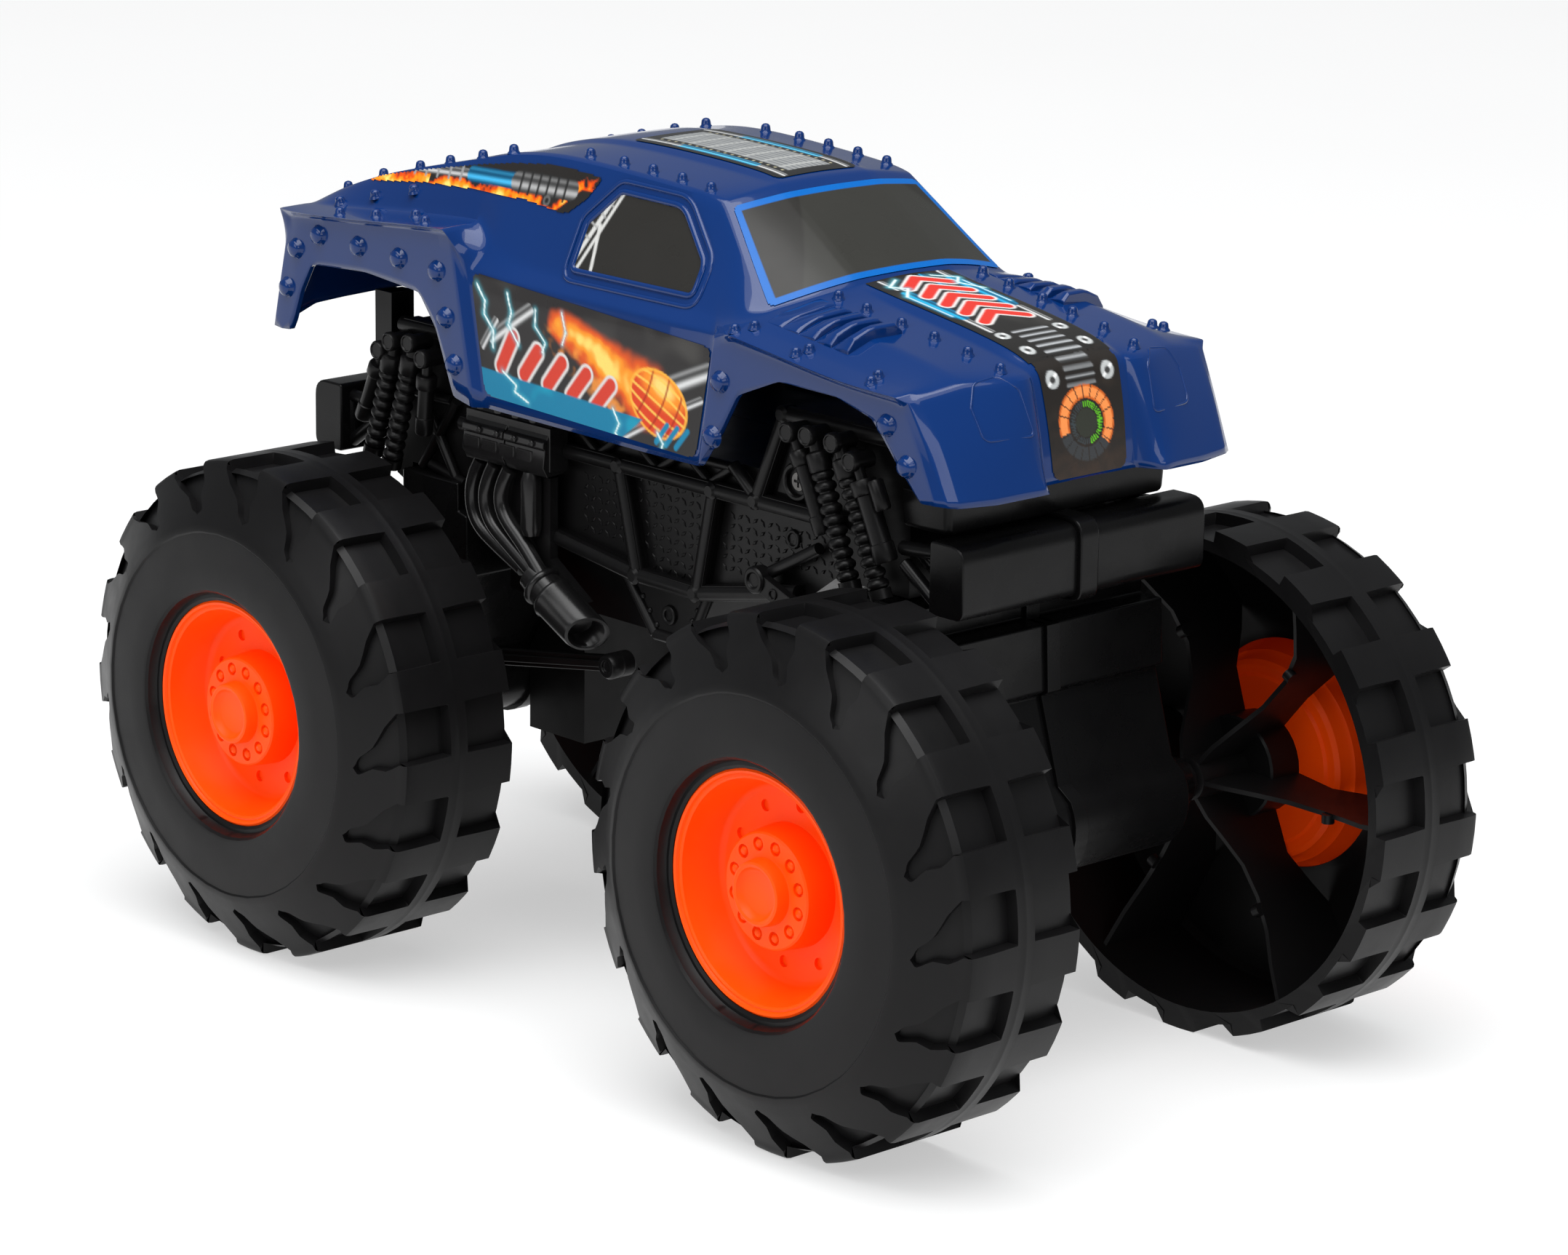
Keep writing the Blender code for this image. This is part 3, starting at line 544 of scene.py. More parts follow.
def side_rivets():
    """(y, z) of the large low domes round the wheel arches of one side."""
    front = [(-44.6, 195.4), (-41.4, 179.4), (-110.6, 194.6), (-118.4, 184.6)]
    rear = [(149.6, 192.0), (144.6, 204.6), (133.4, 210.2), (114.8, 209.6), (95.9, 208.9), (78.2, 207.8),
            (74.3, 194.6), (70.6, 181.2)]
    return front + rear


def make_rivets(surface):
    for side, sign in SIDES:
        form = bmesh.new()
        for (x, y), radius, height in top_rivets():
            spot, normal = surface.cast((sign * x, y, 230), DOWN)
            if spot:
                rivet(form, spot, normal.lerp(Vector((0, 0, 1)), 0.7).normalized(), radius, height)
        for y, z in side_rivets():
            spot, normal = surface.cast((sign * 57, y, z), (-sign, 0, 0))
            if spot:
                rivet(form, spot, normal, 2.8, 2.2, 0.4)
        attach(piece("body_rivets_" + side, form, "blue", "chassis", "body_paint", smooth=50), "chassis")


def make_scoops(surface):
    """Bonnet scoops: a wedge of five forward-leaning louvres that grows taller towards the front."""
    count, rear, pitch, across = 5, -57.0, 6.6, 8
    for side, sign in SIDES:
        form = bmesh.new()
        for number in range(count):
            back = rear - number * pitch
            tall = 0.7 + 0.62 * number
            profile = ((0.4, -0.5), (0.0, 0.15), (-0.62 * pitch, tall),
                       (-0.86 * pitch, tall), (-0.94 * pitch, tall - 0.5),
                       (-0.94 * pitch, -0.5))
            sections = []
            for part in range(across + 1):
                t = part / across
                x = sign * (31.4 + 18.2 * t)
                lean = 2.2 * t
                slope, _ = surface.cast((x, back + lean, 230), DOWN)
                ahead, _ = surface.cast((x, back - pitch + lean, 230), DOWN)
                edge = min(1.0, 8.0 * min(t, 1 - t) + 0.3)
                sections.append([form.verts.new((
                    x, back + y + lean,
                    slope.z + (ahead.z - slope.z) * -y / pitch + (z * edge if z > 0 else z)))
                                 for y, z in profile])
            size = len(profile)
            for here, there in zip(sections, sections[1:]):
                for i in range(size):
                    j = (i + 1) % size
                    form.faces.new((here[i], here[j], there[j], there[i]))
            form.faces.new(sections[0][::-1])
            form.faces.new(sections[-1])
        piece("bonnet_scoop_" + side, form, "blue", "chassis", "body_paint", smooth=30, bevel=0.35)


HEADLIGHT = ((39.8, 190.4), (23.4, 189.6), (25.0, 203.0), (29.5, 207.4), (37.5, 206.6), (40.6, 200.2))


def make_headlight_lines(surface):
    """The faint raised outline of a headlight on the front of each nose pod."""
    for side, sign in SIDES:
        form = bmesh.new()
        loop = []
        for x, z in round_loop(HEADLIGHT, (3.0, 1.6, 3.0, 3.0, 3.0, 3.0)):
            spot, normal = surface.cast((sign * x, -128.0, z), (0, 1, -0.25))
            if spot:
                loop.append(spot - normal * 0.12)
        tube(form, loop + loop[:1], 0.42, 8, cap=False)
        piece("headlight_line_" + side, form, "blue", "chassis", "body_paint", smooth=60)


# ================================================================ printed films

def smoothstep(low, high, value):
    """A smooth rise from 0 at the first edge to 1 at the second."""
    t = np.clip((value - low) / (high - low), 0, 1)
    return t * t * (3 - 2 * t)


class Canvas:
    """A film's colours on a grid, painted in millimetres from its top-left corner."""

    def __init__(self, width, height, x, y, base):
        self.width, self.height, self.x, self.y = width, height, x, y
        self.rgb = np.empty((*x.shape, 3))
        self.rgb[:] = base

    def cover(self, alpha, color):
        alpha = np.clip(alpha, 0, 1)[..., None]
        self.rgb = self.rgb * (1 - alpha) + np.asarray(color) * alpha

    def to_line(self, start, end):
        """Distance from a segment and how far along it each point is."""
        (x0, y0), (x1, y1) = start, end
        dx, dy = x1 - x0, y1 - y0
        along = np.clip(((self.x - x0) * dx + (self.y - y0) * dy) / (dx * dx + dy * dy), 0, 1)
        return np.hypot(self.x - x0 - along * dx, self.y - y0 - along * dy), along

    def line(self, start, end, half, color, soft=0.25, strength=1.0):
        distance, _ = self.to_line(start, end)
        self.cover(strength * (1 - smoothstep(half - soft, half + soft, distance)), color)

    def pipe(self, start, end, half, dark, light, at=0.3):
        """A shaded round bar: dark edges, a bright line off centre."""
        (x0, y0), (x1, y1) = start, end
        length = math.hypot(x1 - x0, y1 - y0)
        nx, ny = -(y1 - y0) / length, (x1 - x0) / length
        side = ((self.x - x0) * nx + (self.y - y0) * ny) / half
        distance, _ = self.to_line(start, end)
        shade = np.exp(-((side - at) / 0.32) ** 2) + 0.35 * np.exp(-((side + 0.65) / 0.2) ** 2)
        color = np.asarray(dark) + (np.asarray(light) - np.asarray(dark)) * np.clip(shade, 0, 1)[..., None]
        alpha = (1 - smoothstep(half - 0.2, half + 0.2, distance))[..., None]
        self.rgb = self.rgb * (1 - alpha) + color * alpha

    def glow(self, start, end, half, color, core=(0.85, 1.0, 1.0)):
        distance, _ = self.to_line(start, end)
        self.cover(0.75 * np.exp(-(distance / (half * 1.3)) ** 2), color)
        self.cover(0.9 * np.exp(-(distance / (half * 0.35)) ** 2), core)

    def disc(self, centre, radius, color, squash=1.0, soft=0.25):
        distance = np.hypot(self.x - centre[0], (self.y - centre[1]) / squash)
        self.cover(1 - smoothstep(radius - soft, radius + soft, distance), color)

    def wander(self, scale, seed):
        """Smooth made-up turbulence from a few crossed sine waves."""
        x, y = self.x / scale, self.y / scale
        total = np.zeros_like(x)
        for k in range(1, 6):
            turn = seed * 1.7 + k * 2.399
            total += np.sin(k * (x * math.cos(turn) + y * math.sin(turn)) + seed * k
                            + 1.3 * np.sin(k * 0.7 * (y * math.cos(turn) - x * math.sin(turn)) + k)) / k
        return total / 2.3

    def flames(self, base, reach, seed, rise=1.0, strength=1.0):
        """Tongues of fire that rise from the line y = base towards smaller y."""
        height = (base - self.y) / reach
        licks = 0.55 + 0.45 * self.wander(2.6, seed) + 0.25 * self.wander(1.1, seed + 3)
        heat = np.clip(licks - height * rise, 0, 1) * smoothstep(-0.15, 0.05, height)
        self.cover(strength * smoothstep(0.02, 0.22, heat), (0.75, 0.07, 0.004))
        self.cover(strength * smoothstep(0.2, 0.5, heat), (1.0, 0.3, 0.01))
        self.cover(strength * smoothstep(0.5, 0.85, heat), (1.0, 0.78, 0.18))

    def bolt(self, points, width=0.45):
        for start, end in zip(points, points[1:]):
            distance, _ = self.to_line(start, end)
            self.cover(0.5 * np.exp(-(distance / (width * 2.6)) ** 2), (0.1, 0.5, 0.6))
            self.cover(1 - smoothstep(width * 0.5, width, distance), (0.8, 0.95, 0.95))


CHARCOAL = (0.022, 0.021, 0.019)
CYAN = (0.01, 0.36, 0.62)
CHROME_DARK, CHROME_LIGHT = (0.02, 0.02, 0.02), (0.75, 0.76, 0.76)
FILM_BLUE = (0.0, 0.12, 0.46)


def paint_windscreen(c):
    """Bright blue border, charcoal glass and one paler slanted band."""
    band = smoothstep(0.30, 0.315, c.x / c.width + 0.2 * c.y / c.height)
    band *= 1 - smoothstep(0.84, 0.9, c.x / c.width - 0.25 * c.y / c.height)
    c.rgb[:] = CHARCOAL
    c.cover(0.8 * band, (0.034, 0.034, 0.03))
    edge = np.minimum.reduce([c.x, c.width - c.x, c.y, c.height - c.y])
    c.cover(1 - smoothstep(2.0, 2.3, edge), FILM_BLUE)


def paint_side_window(c):
    """Charcoal with a light roll cage drawn at the rear."""
    c.rgb[:] = (0.024, 0.023, 0.021)
    frame_light = (0.6, 0.6, 0.58)
    c.line((2.0, 25.0), (14.0, 1.5), 0.75, frame_light)
    c.line((4.6, 26.0), (15.6, 3.0), 0.55, frame_light)
    c.line((9.5, 13.0), (11.0, 27.0), 0.6, frame_light)
    c.line((0.6, 16.0), (8.5, 0.5), 0.35, (0.4, 0.4, 0.39))
    for k in range(5):
        c.line((1.4 + 2.4 * k, 15.0 - 3.4 * k), (6.6 + 2.0 * k, 17.0 - 3.2 * k), 0.3, (0.36, 0.36, 0.35))


def paint_roof(c):
    """A long grey louvred panel between two jointed cyan tubes on a dark ground."""
    c.rgb[:] = (0.016, 0.016, 0.016)
    mid, h = c.width / 2, c.height
    for side in (-1, 1):
        x = mid + side * 12.0
        c.pipe((x, 0.03 * h), (x, 0.22 * h), 1.3, CHROME_DARK, CHROME_LIGHT)
        c.pipe((x, 0.22 * h), (x, 0.74 * h), 1.8, (0.0, 0.06, 0.14), (0.1, 0.6, 0.88))
        c.pipe((x, 0.74 * h), (x, 0.97 * h), 1.3, CHROME_DARK, CHROME_LIGHT)
    inside = (np.abs(c.x - mid) < 8.4) & (c.y > 0.06 * h) & (c.y < 0.93 * h)
    slats = 0.5 + 0.5 * np.cos(c.x * TAU / 1.9)
    bars = smoothstep(0.9, 0.97, 0.5 + 0.5 * np.cos(c.y * TAU / 7.6))
    c.cover(inside * 1.0, (0.3, 0.31, 0.31))
    c.cover(inside * smoothstep(0.55, 0.9, slats), (0.16, 0.17, 0.18))
    c.cover(inside * bars, (0.4, 0.41, 0.4))
    for side in (-1, 1):
        for k in range(18):
            y = h * (0.08 + 0.0485 * k)
            c.disc((mid + side * 9.3, y), 0.45, (0.5, 0.46, 0.3))


def plated_disc(c, x, y, radius=2.2):
    """A plated disc with a slot of light across it and a dark middle."""
    c.disc((x, y), radius + 0.3, (0.02, 0.02, 0.02))
    c.disc((x, y), radius, (0.5, 0.52, 0.52))
    for side in (-1, 1):
        c.line((x, y), (x + side * 0.66 * radius, y - 0.55 * side * radius), 0.4, (0.92, 0.93, 0.93))
    c.disc((x, y), 0.42 * radius, (0.05, 0.05, 0.05))


def paint_bonnet(c):
    """Neon tubes, pipes and red chevrons, then a stack of tubes between plated discs at the front."""
    c.rgb[:] = (0.016, 0.015, 0.014)
    c.cover(0.3 * smoothstep(0.1, 0.9, c.wander(7, 2)), (0.07, 0.066, 0.06))
    w, h = c.width, c.height
    for x, top, low, half in ((0.14, 0.03, 0.12, 1.3), (0.86, 0.02, 0.14, 1.4),
                              (0.13, 0.54, 0.7, 1.5), (0.87, 0.52, 0.68, 1.5)):
        c.pipe((x * w, top * h), (x * w, low * h), half, CHROME_DARK, CHROME_LIGHT)
    for x, top, low, half in ((0.14, 0.2, 0.52, 2.3), (0.84, 0.12, 0.46, 2.6), (0.62, 0.03, 0.3, 1.2)):
        c.pipe((x * w, top * h), (x * w, low * h), half, (0.0, 0.05, 0.12), (0.01, 0.42, 0.72))
    for x, top, low in ((0.9, 0.14, 0.44), (0.08, 0.22, 0.5)):
        c.glow((x * w, top * h), (x * w, low * h), 0.7, CYAN)
    for grow, color in ((0.8, (0.75, 0.72, 0.7)), (0.0, (0.66, 0.03, 0.018))):
        for k in range(5):
            y = h * (0.05 + 0.118 * k)
            for side in (-1, 1):
                c.line((w / 2, y), (w / 2 + side * 8.2, y + 5.8), 1.7 + grow, color)
    c.bolt([(w * 0.3, h * 0.03), (w * 0.12, h * 0.09), (w * 0.24, h * 0.14), (w * 0.08, h * 0.22)])
    c.bolt([(w * 0.7, h * 0.04), (w * 0.92, h * 0.1), (w * 0.8, h * 0.16), (w * 0.94, h * 0.26)])
    for k in range(5):
        y = h * (0.76 + 0.05 * k)
        c.pipe((w * 0.32, y), (w * 0.68, y), 1.15, CHROME_DARK, (0.5, 0.52, 0.54), 0)
    for x in (w * 0.15, w * 0.85):
        plated_disc(c, x, h * 0.77)
        plated_disc(c, x, h * 0.92)


def paint_front(c):
    """A round gauge of orange segments with a green inner arc, under two pairs of plated discs."""
    c.rgb[:] = (0.02, 0.017, 0.015)
    c.cover(0.5 * smoothstep(0.2, 1.0, c.wander(4, 5)), (0.045, 0.034, 0.026))
    c.cover(0.7 * smoothstep(0.2, 0.9, c.y / c.height - 0.35 + 0.2 * c.wander(1.2, 9)), (0.05, 0.03, 0.02))
    for k in range(4):
        c.pipe((c.width * 0.34, 1.6 + 2.2 * k), (c.width * 0.66, 1.6 + 2.2 * k),
               0.8, CHROME_DARK, (0.32, 0.33, 0.34), 0)
    for x in (c.width * 0.15, c.width * 0.85):
        plated_disc(c, x, 5.8, 2.4)
    x, y = c.x - c.width / 2, c.y - c.height * 0.42 - 4.9
    radius = np.hypot(x, y)
    angle = np.degrees(np.arctan2(x, -y))
    segment = np.abs(((angle + 360) % 18) - 9) < 8.0
    ring = smoothstep(6.7, 6.9, radius) * (1 - smoothstep(10.5, 10.8, radius))
    lit = (angle > -105) & (angle < 130)
    c.cover(ring * segment * lit, (0.62, 0.13, 0.02))
    c.cover(ring * segment * lit * smoothstep(7.2, 7.6, radius) * (1 - smoothstep(9.9, 10.2, radius)),
            (0.95, 0.3, 0.08))
    c.cover(ring * segment * (~lit) * 0.8, (0.045, 0.05, 0.055))
    ticks = (np.abs(((angle + 360) % 9) - 4.5) < 2.6) & (radius > 4.4) & (radius < 6.1)
    green = (angle > -10) & (angle < 170)
    c.cover(ticks * green, (0.12, 0.5, 0.02))
    c.cover(ticks * ~green * 0.7, (0.05, 0.07, 0.08))
    c.cover((radius < 4.1) * 0.8, (0.035, 0.04, 0.03))


def paint_door(c):
    """A fireball with its trail, lightning, plated tubes and a cyan sill stripe."""
    w, h = c.width, c.height
    c.rgb[:] = (0.022, 0.02, 0.02)
    c.cover(0.5 * smoothstep(0.2, 1.0, c.wander(9, 1)), (0.085, 0.082, 0.075))
    for start, end, half in (((7, 17), (24, 6), 2.2), ((78, 18), (97, 8), 3.4),
                             ((66, 34), (96, 17), 1.6), ((2, 20), (9, 12), 1.4)):
        c.pipe(start, end, half, CHROME_DARK, CHROME_LIGHT)
    distance, along = c.to_line((30, 5), (74, 20))
    trail = np.exp(-(distance / (3.2 + 4.8 * along)) ** 2) * smoothstep(0.0, 0.16, along)
    fire = trail * (0.8 + 0.35 * c.wander(3.2, 4))
    c.cover(smoothstep(0.08, 0.35, fire), (0.75, 0.09, 0.005))
    c.cover(smoothstep(0.32, 0.62, fire), (1.0, 0.33, 0.015))
    c.cover(smoothstep(0.6, 0.9, fire), (1.0, 0.72, 0.16))
    spread, _ = c.to_line((34, 12), (62, 26))
    under = np.exp(-(spread / 5.5) ** 2) * (0.55 + 0.6 * c.wander(2.2, 7))
    c.cover(0.85 * smoothstep(0.3, 0.8, under), (0.9, 0.3, 0.04))
    x, y = (c.x - 79.5), (c.y - 21.5)
    turn = math.radians(22)
    u = (x * math.cos(turn) + y * math.sin(turn)) / 13.0
    v = (y * math.cos(turn) - x * math.sin(turn)) / 9.6
    r = np.hypot(u, v)
    ball = 1 - smoothstep(0.97, 1.02, r)
    c.cover(ball, (0.72, 0.05, 0.006))
    lit = np.exp(-((u + 0.05) ** 2 * 1.2 + (v + 0.55) ** 2 * 2.2))
    c.cover(ball * smoothstep(0.25, 0.75, lit), (1.0, 0.3, 0.015))
    c.cover(ball * smoothstep(0.72, 0.98, lit), (1.0, 0.72, 0.2))
    for k in range(-2, 3):
        band = np.abs(v - 0.36 * k * np.sqrt(np.clip(1 - 0.55 * u * u, 0, 1)))
        c.cover(ball * (1 - smoothstep(0.02, 0.06, band)) * 0.85, (1.0, 0.62, 0.1))
    for k in (-0.55, 0.0, 0.5):
        band = np.abs(u - k - 0.12 * (1 - v * v))
        c.cover(ball * (1 - smoothstep(0.015, 0.045, band)) * 0.8, (0.4, 0.015, 0.0))
    c.cover((1 - smoothstep(0.02, 0.06, np.abs(r - 0.97))) * 0.8, (1.0, 0.5, 0.05))
    for grow, color in ((0.9, (0.74, 0.72, 0.7)), (0.0, (0.66, 0.045, 0.022))):
        for k in range(5):
            x0, y0, tall = 12.0 + 10.6 * k, h * (0.58 + 0.032 * k), 4.0 if k else 5.0
            c.line((x0 - 2.6, y0 + tall), (x0 + 4.4, y0 - tall), 2.1 + grow, color)
    sill = (smoothstep(h - 7.5, h - 7.0, c.y - 0.012 * (c.x - w / 2))
            * (1 - smoothstep(0.66 * w, 0.67 * w, c.x - 1.2 * (h - c.y))))
    c.cover(sill, (0.0, 0.2, 0.36))
    c.cover(sill * smoothstep(0.3, 0.8, c.wander(6, 8)), (0.0, 0.3, 0.46))
    for k in range(3):
        c.line((80 + 4.4 * k, h - 1.6), (84 + 4.4 * k, h - 7.4), 0.95, (0.0, 0.22, 0.4))
    c.bolt([(2, 3), (5, 7), (4, 11), (7.5, 15), (6.5, 20)])
    c.bolt([(15, 3), (16.4, 8), (14.6, 12), (18.5, 17)], 0.4)
    c.bolt([(27, 5), (26.4, 10), (30.5, 14), (29, 17)], 0.35)
    c.bolt([(10, 26), (16, 29), (15, 31), (21, 33)], 0.4)
    c.bolt([(60, 27), (63, 31), (61.5, 34), (66, 38)], 0.4)
    c.bolt([(80, 30), (83, 33), (82, 36), (88, 38)], 0.4)
    c.bolt([(38, 3.5), (39.5, 9), (37.8, 13)], 0.3)


def paint_quarter(c):
    """A jointed tube with a cyan middle, over flames that follow the film's lower edge."""
    c.rgb[:] = (0.02, 0.018, 0.017)
    sill = np.interp(c.x, (0.0, 28.8, 51.6, 75.2, 88.0, 97.0), (16.8, 14.0, 12.8, 12.5, 13.4, 6.0))
    c.flames(sill + 0.3, 5.2, 2.0, rise=0.85)
    c.flames(np.where(c.x < 30.0, sill + 0.3, sill - 30.0), 8.5, 4.0, rise=0.8)
    c.pipe((17, 10.6), (49, 8.6), 1.5, CHROME_DARK, (0.6, 0.6, 0.6))
    for k in range(5):
        c.line((22 + 5.5 * k, 8.6 - 0.3 * k), (22 + 5.5 * k, 12.0 - 0.3 * k), 0.5, (0.3, 0.3, 0.3))
    c.pipe((49, 8.6), (69, 7.9), 2.3, (0.0, 0.05, 0.12), (0.06, 0.46, 0.8))
    c.pipe((70, 7.8), (93, 7.4), 2.9, (0.03, 0.03, 0.03), (0.4, 0.4, 0.4))
    for k in range(6):
        c.line((71.5 + 3.8 * k, 4.6), (71.5 + 3.8 * k, 10.8), 0.45, (0.02, 0.02, 0.02))
    c.disc((84.0, 11.4), 1.5, (0.12, 0.12, 0.12))
    c.disc((84.0, 11.4), 0.8, (0.02, 0.02, 0.02))


def lay_film(name, surface, corners, toward, painter, step=0.4, base=CHARCOAL, keep=None, lift=0.25):
    """Lay a film on the shell: a grid between four corners, cast on to the surface and painted."""
    top_left, top_right, low_right, low_left = (Vector(p) for p in corners)
    width = ((top_right - top_left).length + (low_right - low_left).length) / 2
    height = ((low_left - top_left).length + (low_right - top_right).length) / 2
    columns, rows = max(2, round(width / step)), max(2, round(height / step))
    us, vs = np.meshgrid(np.linspace(0, 1, columns + 1), np.linspace(0, 1, rows + 1))
    canvas = Canvas(width, height, us * width, vs * height, base)
    painter(canvas)
    wanted = np.ones(us.shape, bool) if keep is None else keep(us * width, vs * height, width, height)
    form = bmesh.new()
    verts, colors = {}, []
    for r in range(rows + 1):
        for k in range(columns + 1):
            if not wanted[r, k]:
                continue
            u, v = float(us[r, k]), float(vs[r, k])
            flat = top_left.lerp(top_right, u).lerp(low_left.lerp(low_right, u), v)
            spot, normal = surface.cast(flat, toward)
            if spot is None or (spot - flat).length > 14:
                continue
            verts[r, k] = form.verts.new(spot + normal * lift)
            colors.append((*canvas.rgb[r, k], 1.0))
    for r in range(rows):
        for k in range(columns):
            corner = [verts.get(at) for at in ((r, k), (r, k + 1), (r + 1, k + 1), (r + 1, k))]
            if all(corner):
                form.faces.new(corner)
    film = piece(name, form, "film", "chassis", "body_paint", smooth=60)
    paint = film.data.color_attributes.new("print", "FLOAT_COLOR", "POINT")
    paint.data.foreach_set("color", np.asarray(colors, np.float32).ravel())
    return film


def rounded(radius):
    """Keep what lies inside the rectangle with its corners rounded off."""
    def keep(x, y, width, height):
        dx = np.maximum(radius - np.minimum(x, width - x), 0)
        dy = np.maximum(radius - np.minimum(y, height - y), 0)
        return np.hypot(dx, dy) <= radius + 1e-6
    return keep


def make_films(surface):
    corners = ((-35.2, -24.6, 238.6), (35.2, -24.6, 238.6), (44.8, -50.4, 215.2), (-44.8, -50.4, 215.2))
    lay_film("windscreen_film", surface, corners, (0, 0.75, -0.66), paint_windscreen, keep=rounded(1.2))
    lay_film("roof_film", surface, ((-15.6, -22.0, 246), (15.6, -22.0, 246),
                                    (15.6, 40.0, 246), (-15.6, 40.0, 246)),
             DOWN, paint_roof, keep=rounded(1.5))
    lay_film("bonnet_film", surface, ((-16.2, -58.9, 219), (16.2, -58.9, 219),
                                      (15.8, -122.4, 209), (-15.8, -122.4, 209)),
             DOWN, paint_bonnet)
    lay_film("front_film", surface, ((-15.4, -122.8, 209.0), (15.4, -122.8, 209.0),
                                     (14.2, -131.4, 176.6), (-14.2, -131.4, 176.6)),
             (0, 1, 0.1), paint_front, keep=rounded(2.0))
    for side, sign in SIDES:
        ends = ((sign * 55, 65.4, 209.2), (sign * 55, -38.6, 203.6),
                (sign * 55, -32.0, 171.0), (sign * 55, 59.2, 174.0))
        lay_film("door_film_" + side, surface, ends, (-sign, 0, 0), paint_door, keep=rounded(2.5))
        ends = ((sign * 44, 129.0, 243.0), (sign * 44, 23.0, 243.0),
                (sign * 44, 23.0, 226.0), (sign * 44, 129.0, 226.0))
        lay_film("quarter_film_" + side, surface, ends, (-sign, 0, 0),
                 paint_quarter, keep=inside_of(QUARTER, 129, 243))
        ends = ((sign * 46, 30.0, 241.0), (sign * 46, -30.0, 241.0),
                (sign * 46, -30.0, 212.8), (sign * 46, 30.0, 212.8))
        window = round_loop(WINDOW, WINDOW_ROUND)
        lay_film("side_window_film_" + side, surface, ends, (-sign, 0, 0), paint_side_window,
                 keep=inside_of(window, 30, 241))


# Outlines seen from the side, as (y, z): the side window with the radius of each corner, and the
# rear quarter film
WINDOW = ((26.6, 215.4), (25.4, 228.0), (15.6, 237.6), (-9.4, 236.8), (-23.4, 223.4), (-23.4, 215.4))
WINDOW_ROUND = (1.8, 3.0, 3.0, 9.0, 5.0, 2.2)
QUARTER = ((128, 226.2), (122.9, 228.2), (105.1, 232.2), (78.8, 237.4), (62.9, 240.0), (47.4, 241.6),
           (35.9, 241.4), (25.6, 240.8), (25.0, 239.6), (28.6, 234.2), (34.6, 229.6), (37.4, 229.0),
           (53.8, 230.5), (77.4, 230.2), (100.2, 229.0), (127.3, 225.8))


def contains(outline, u, v):
    """Which points lie inside a closed outline."""
    inside = np.zeros(np.shape(u), bool)
    for i, (u0, v0) in enumerate(outline):
        u1, v1 = outline[i - 1]
        if v0 != v1:
            inside ^= ((v0 > v) != (v1 > v)) & (u < (u1 - u0) * (v - v0) / (v1 - v0) + u0)
    return inside


def inside_of(outline, rear, top):
    """Keep the part of a film grid inside an outline; the grid starts at its rear top corner."""
    def keep(x, y, width, height):
        return contains([tuple(p) for p in outline], rear - x, top - y)
    return keep


def grown(outline, margin):
    """The outline moved outwards by a margin, for corners listed with the inside on the right."""
    moved = []
    for i, corner in enumerate(outline):
        here = Vector(corner)
        before = (here - Vector(outline[i - 1])).normalized()
        after = (Vector(outline[(i + 1) % len(outline)]) - here).normalized()
        outward = Vector(((before + after).y, -(before + after).x)).normalized()
        moved.append(here + outward * margin / outward.dot(Vector((after.y, -after.x))))
    return moved


def round_loop(points, radii, steps=6):
    """Round each corner of a closed (u, v) outline by its own radius."""
    loop = []
    for i, (corner, radius) in enumerate(zip(points, radii)):
        here = Vector(corner)
        before = (Vector(points[i - 1]) - here).normalized()
        after = (Vector(points[(i + 1) % len(points)]) - here).normalized()
        half = math.acos(max(-1.0, min(1.0, before.dot(after)))) / 2
        cut = radius / math.tan(half)
        a, b = here + before * cut, here + after * cut
        for k in range(steps + 1):
            t = k / steps
            loop.append((a * (1 - t) ** 2 + here * 2 * t * (1 - t) + b * t * t))
    return loop


def make_window_frames(surface):
    """Two raised beads round each side window: one on the film's edge and one a little outside it."""
    for side, sign in SIDES:
        form = bmesh.new()
        for margin, radius in ((0.5, 1.0), (3.3, 0.8)):
            radii = [r + 0.8 * margin for r in WINDOW_ROUND]
            loop = []
            for u, v in round_loop(grown(WINDOW, margin), radii):
                spot, normal = surface.cast((sign * 46, u, v), (-sign, 0, 0))
                loop.append(spot - normal * 0.1)
            tube(form, loop + loop[:1], radius, 8, cap=False)
        piece("side_window_bead_" + side, form, "blue", "chassis", "body_paint", smooth=60)


# ================================================================ wheels

LUGS = 17
PITCH = TAU / LUGS
HALF_RECESS = math.radians(6.0)
POCKET_SKEW = -8.3


def pocket_half(t):
    """Half angle of a shoulder pocket, from the tread's edge (t = 0) to its rounded tip (t = 1)."""
    tip = max(0.0, (t - 0.88) / 0.12)
    width = float(np.interp(t, (0.0, 0.28, 0.62, 1.0), (1.0, 0.93, 0.44, 0.4)))
    return HALF_RECESS * width * math.sqrt(max(0.0, 1 - tip ** 2))


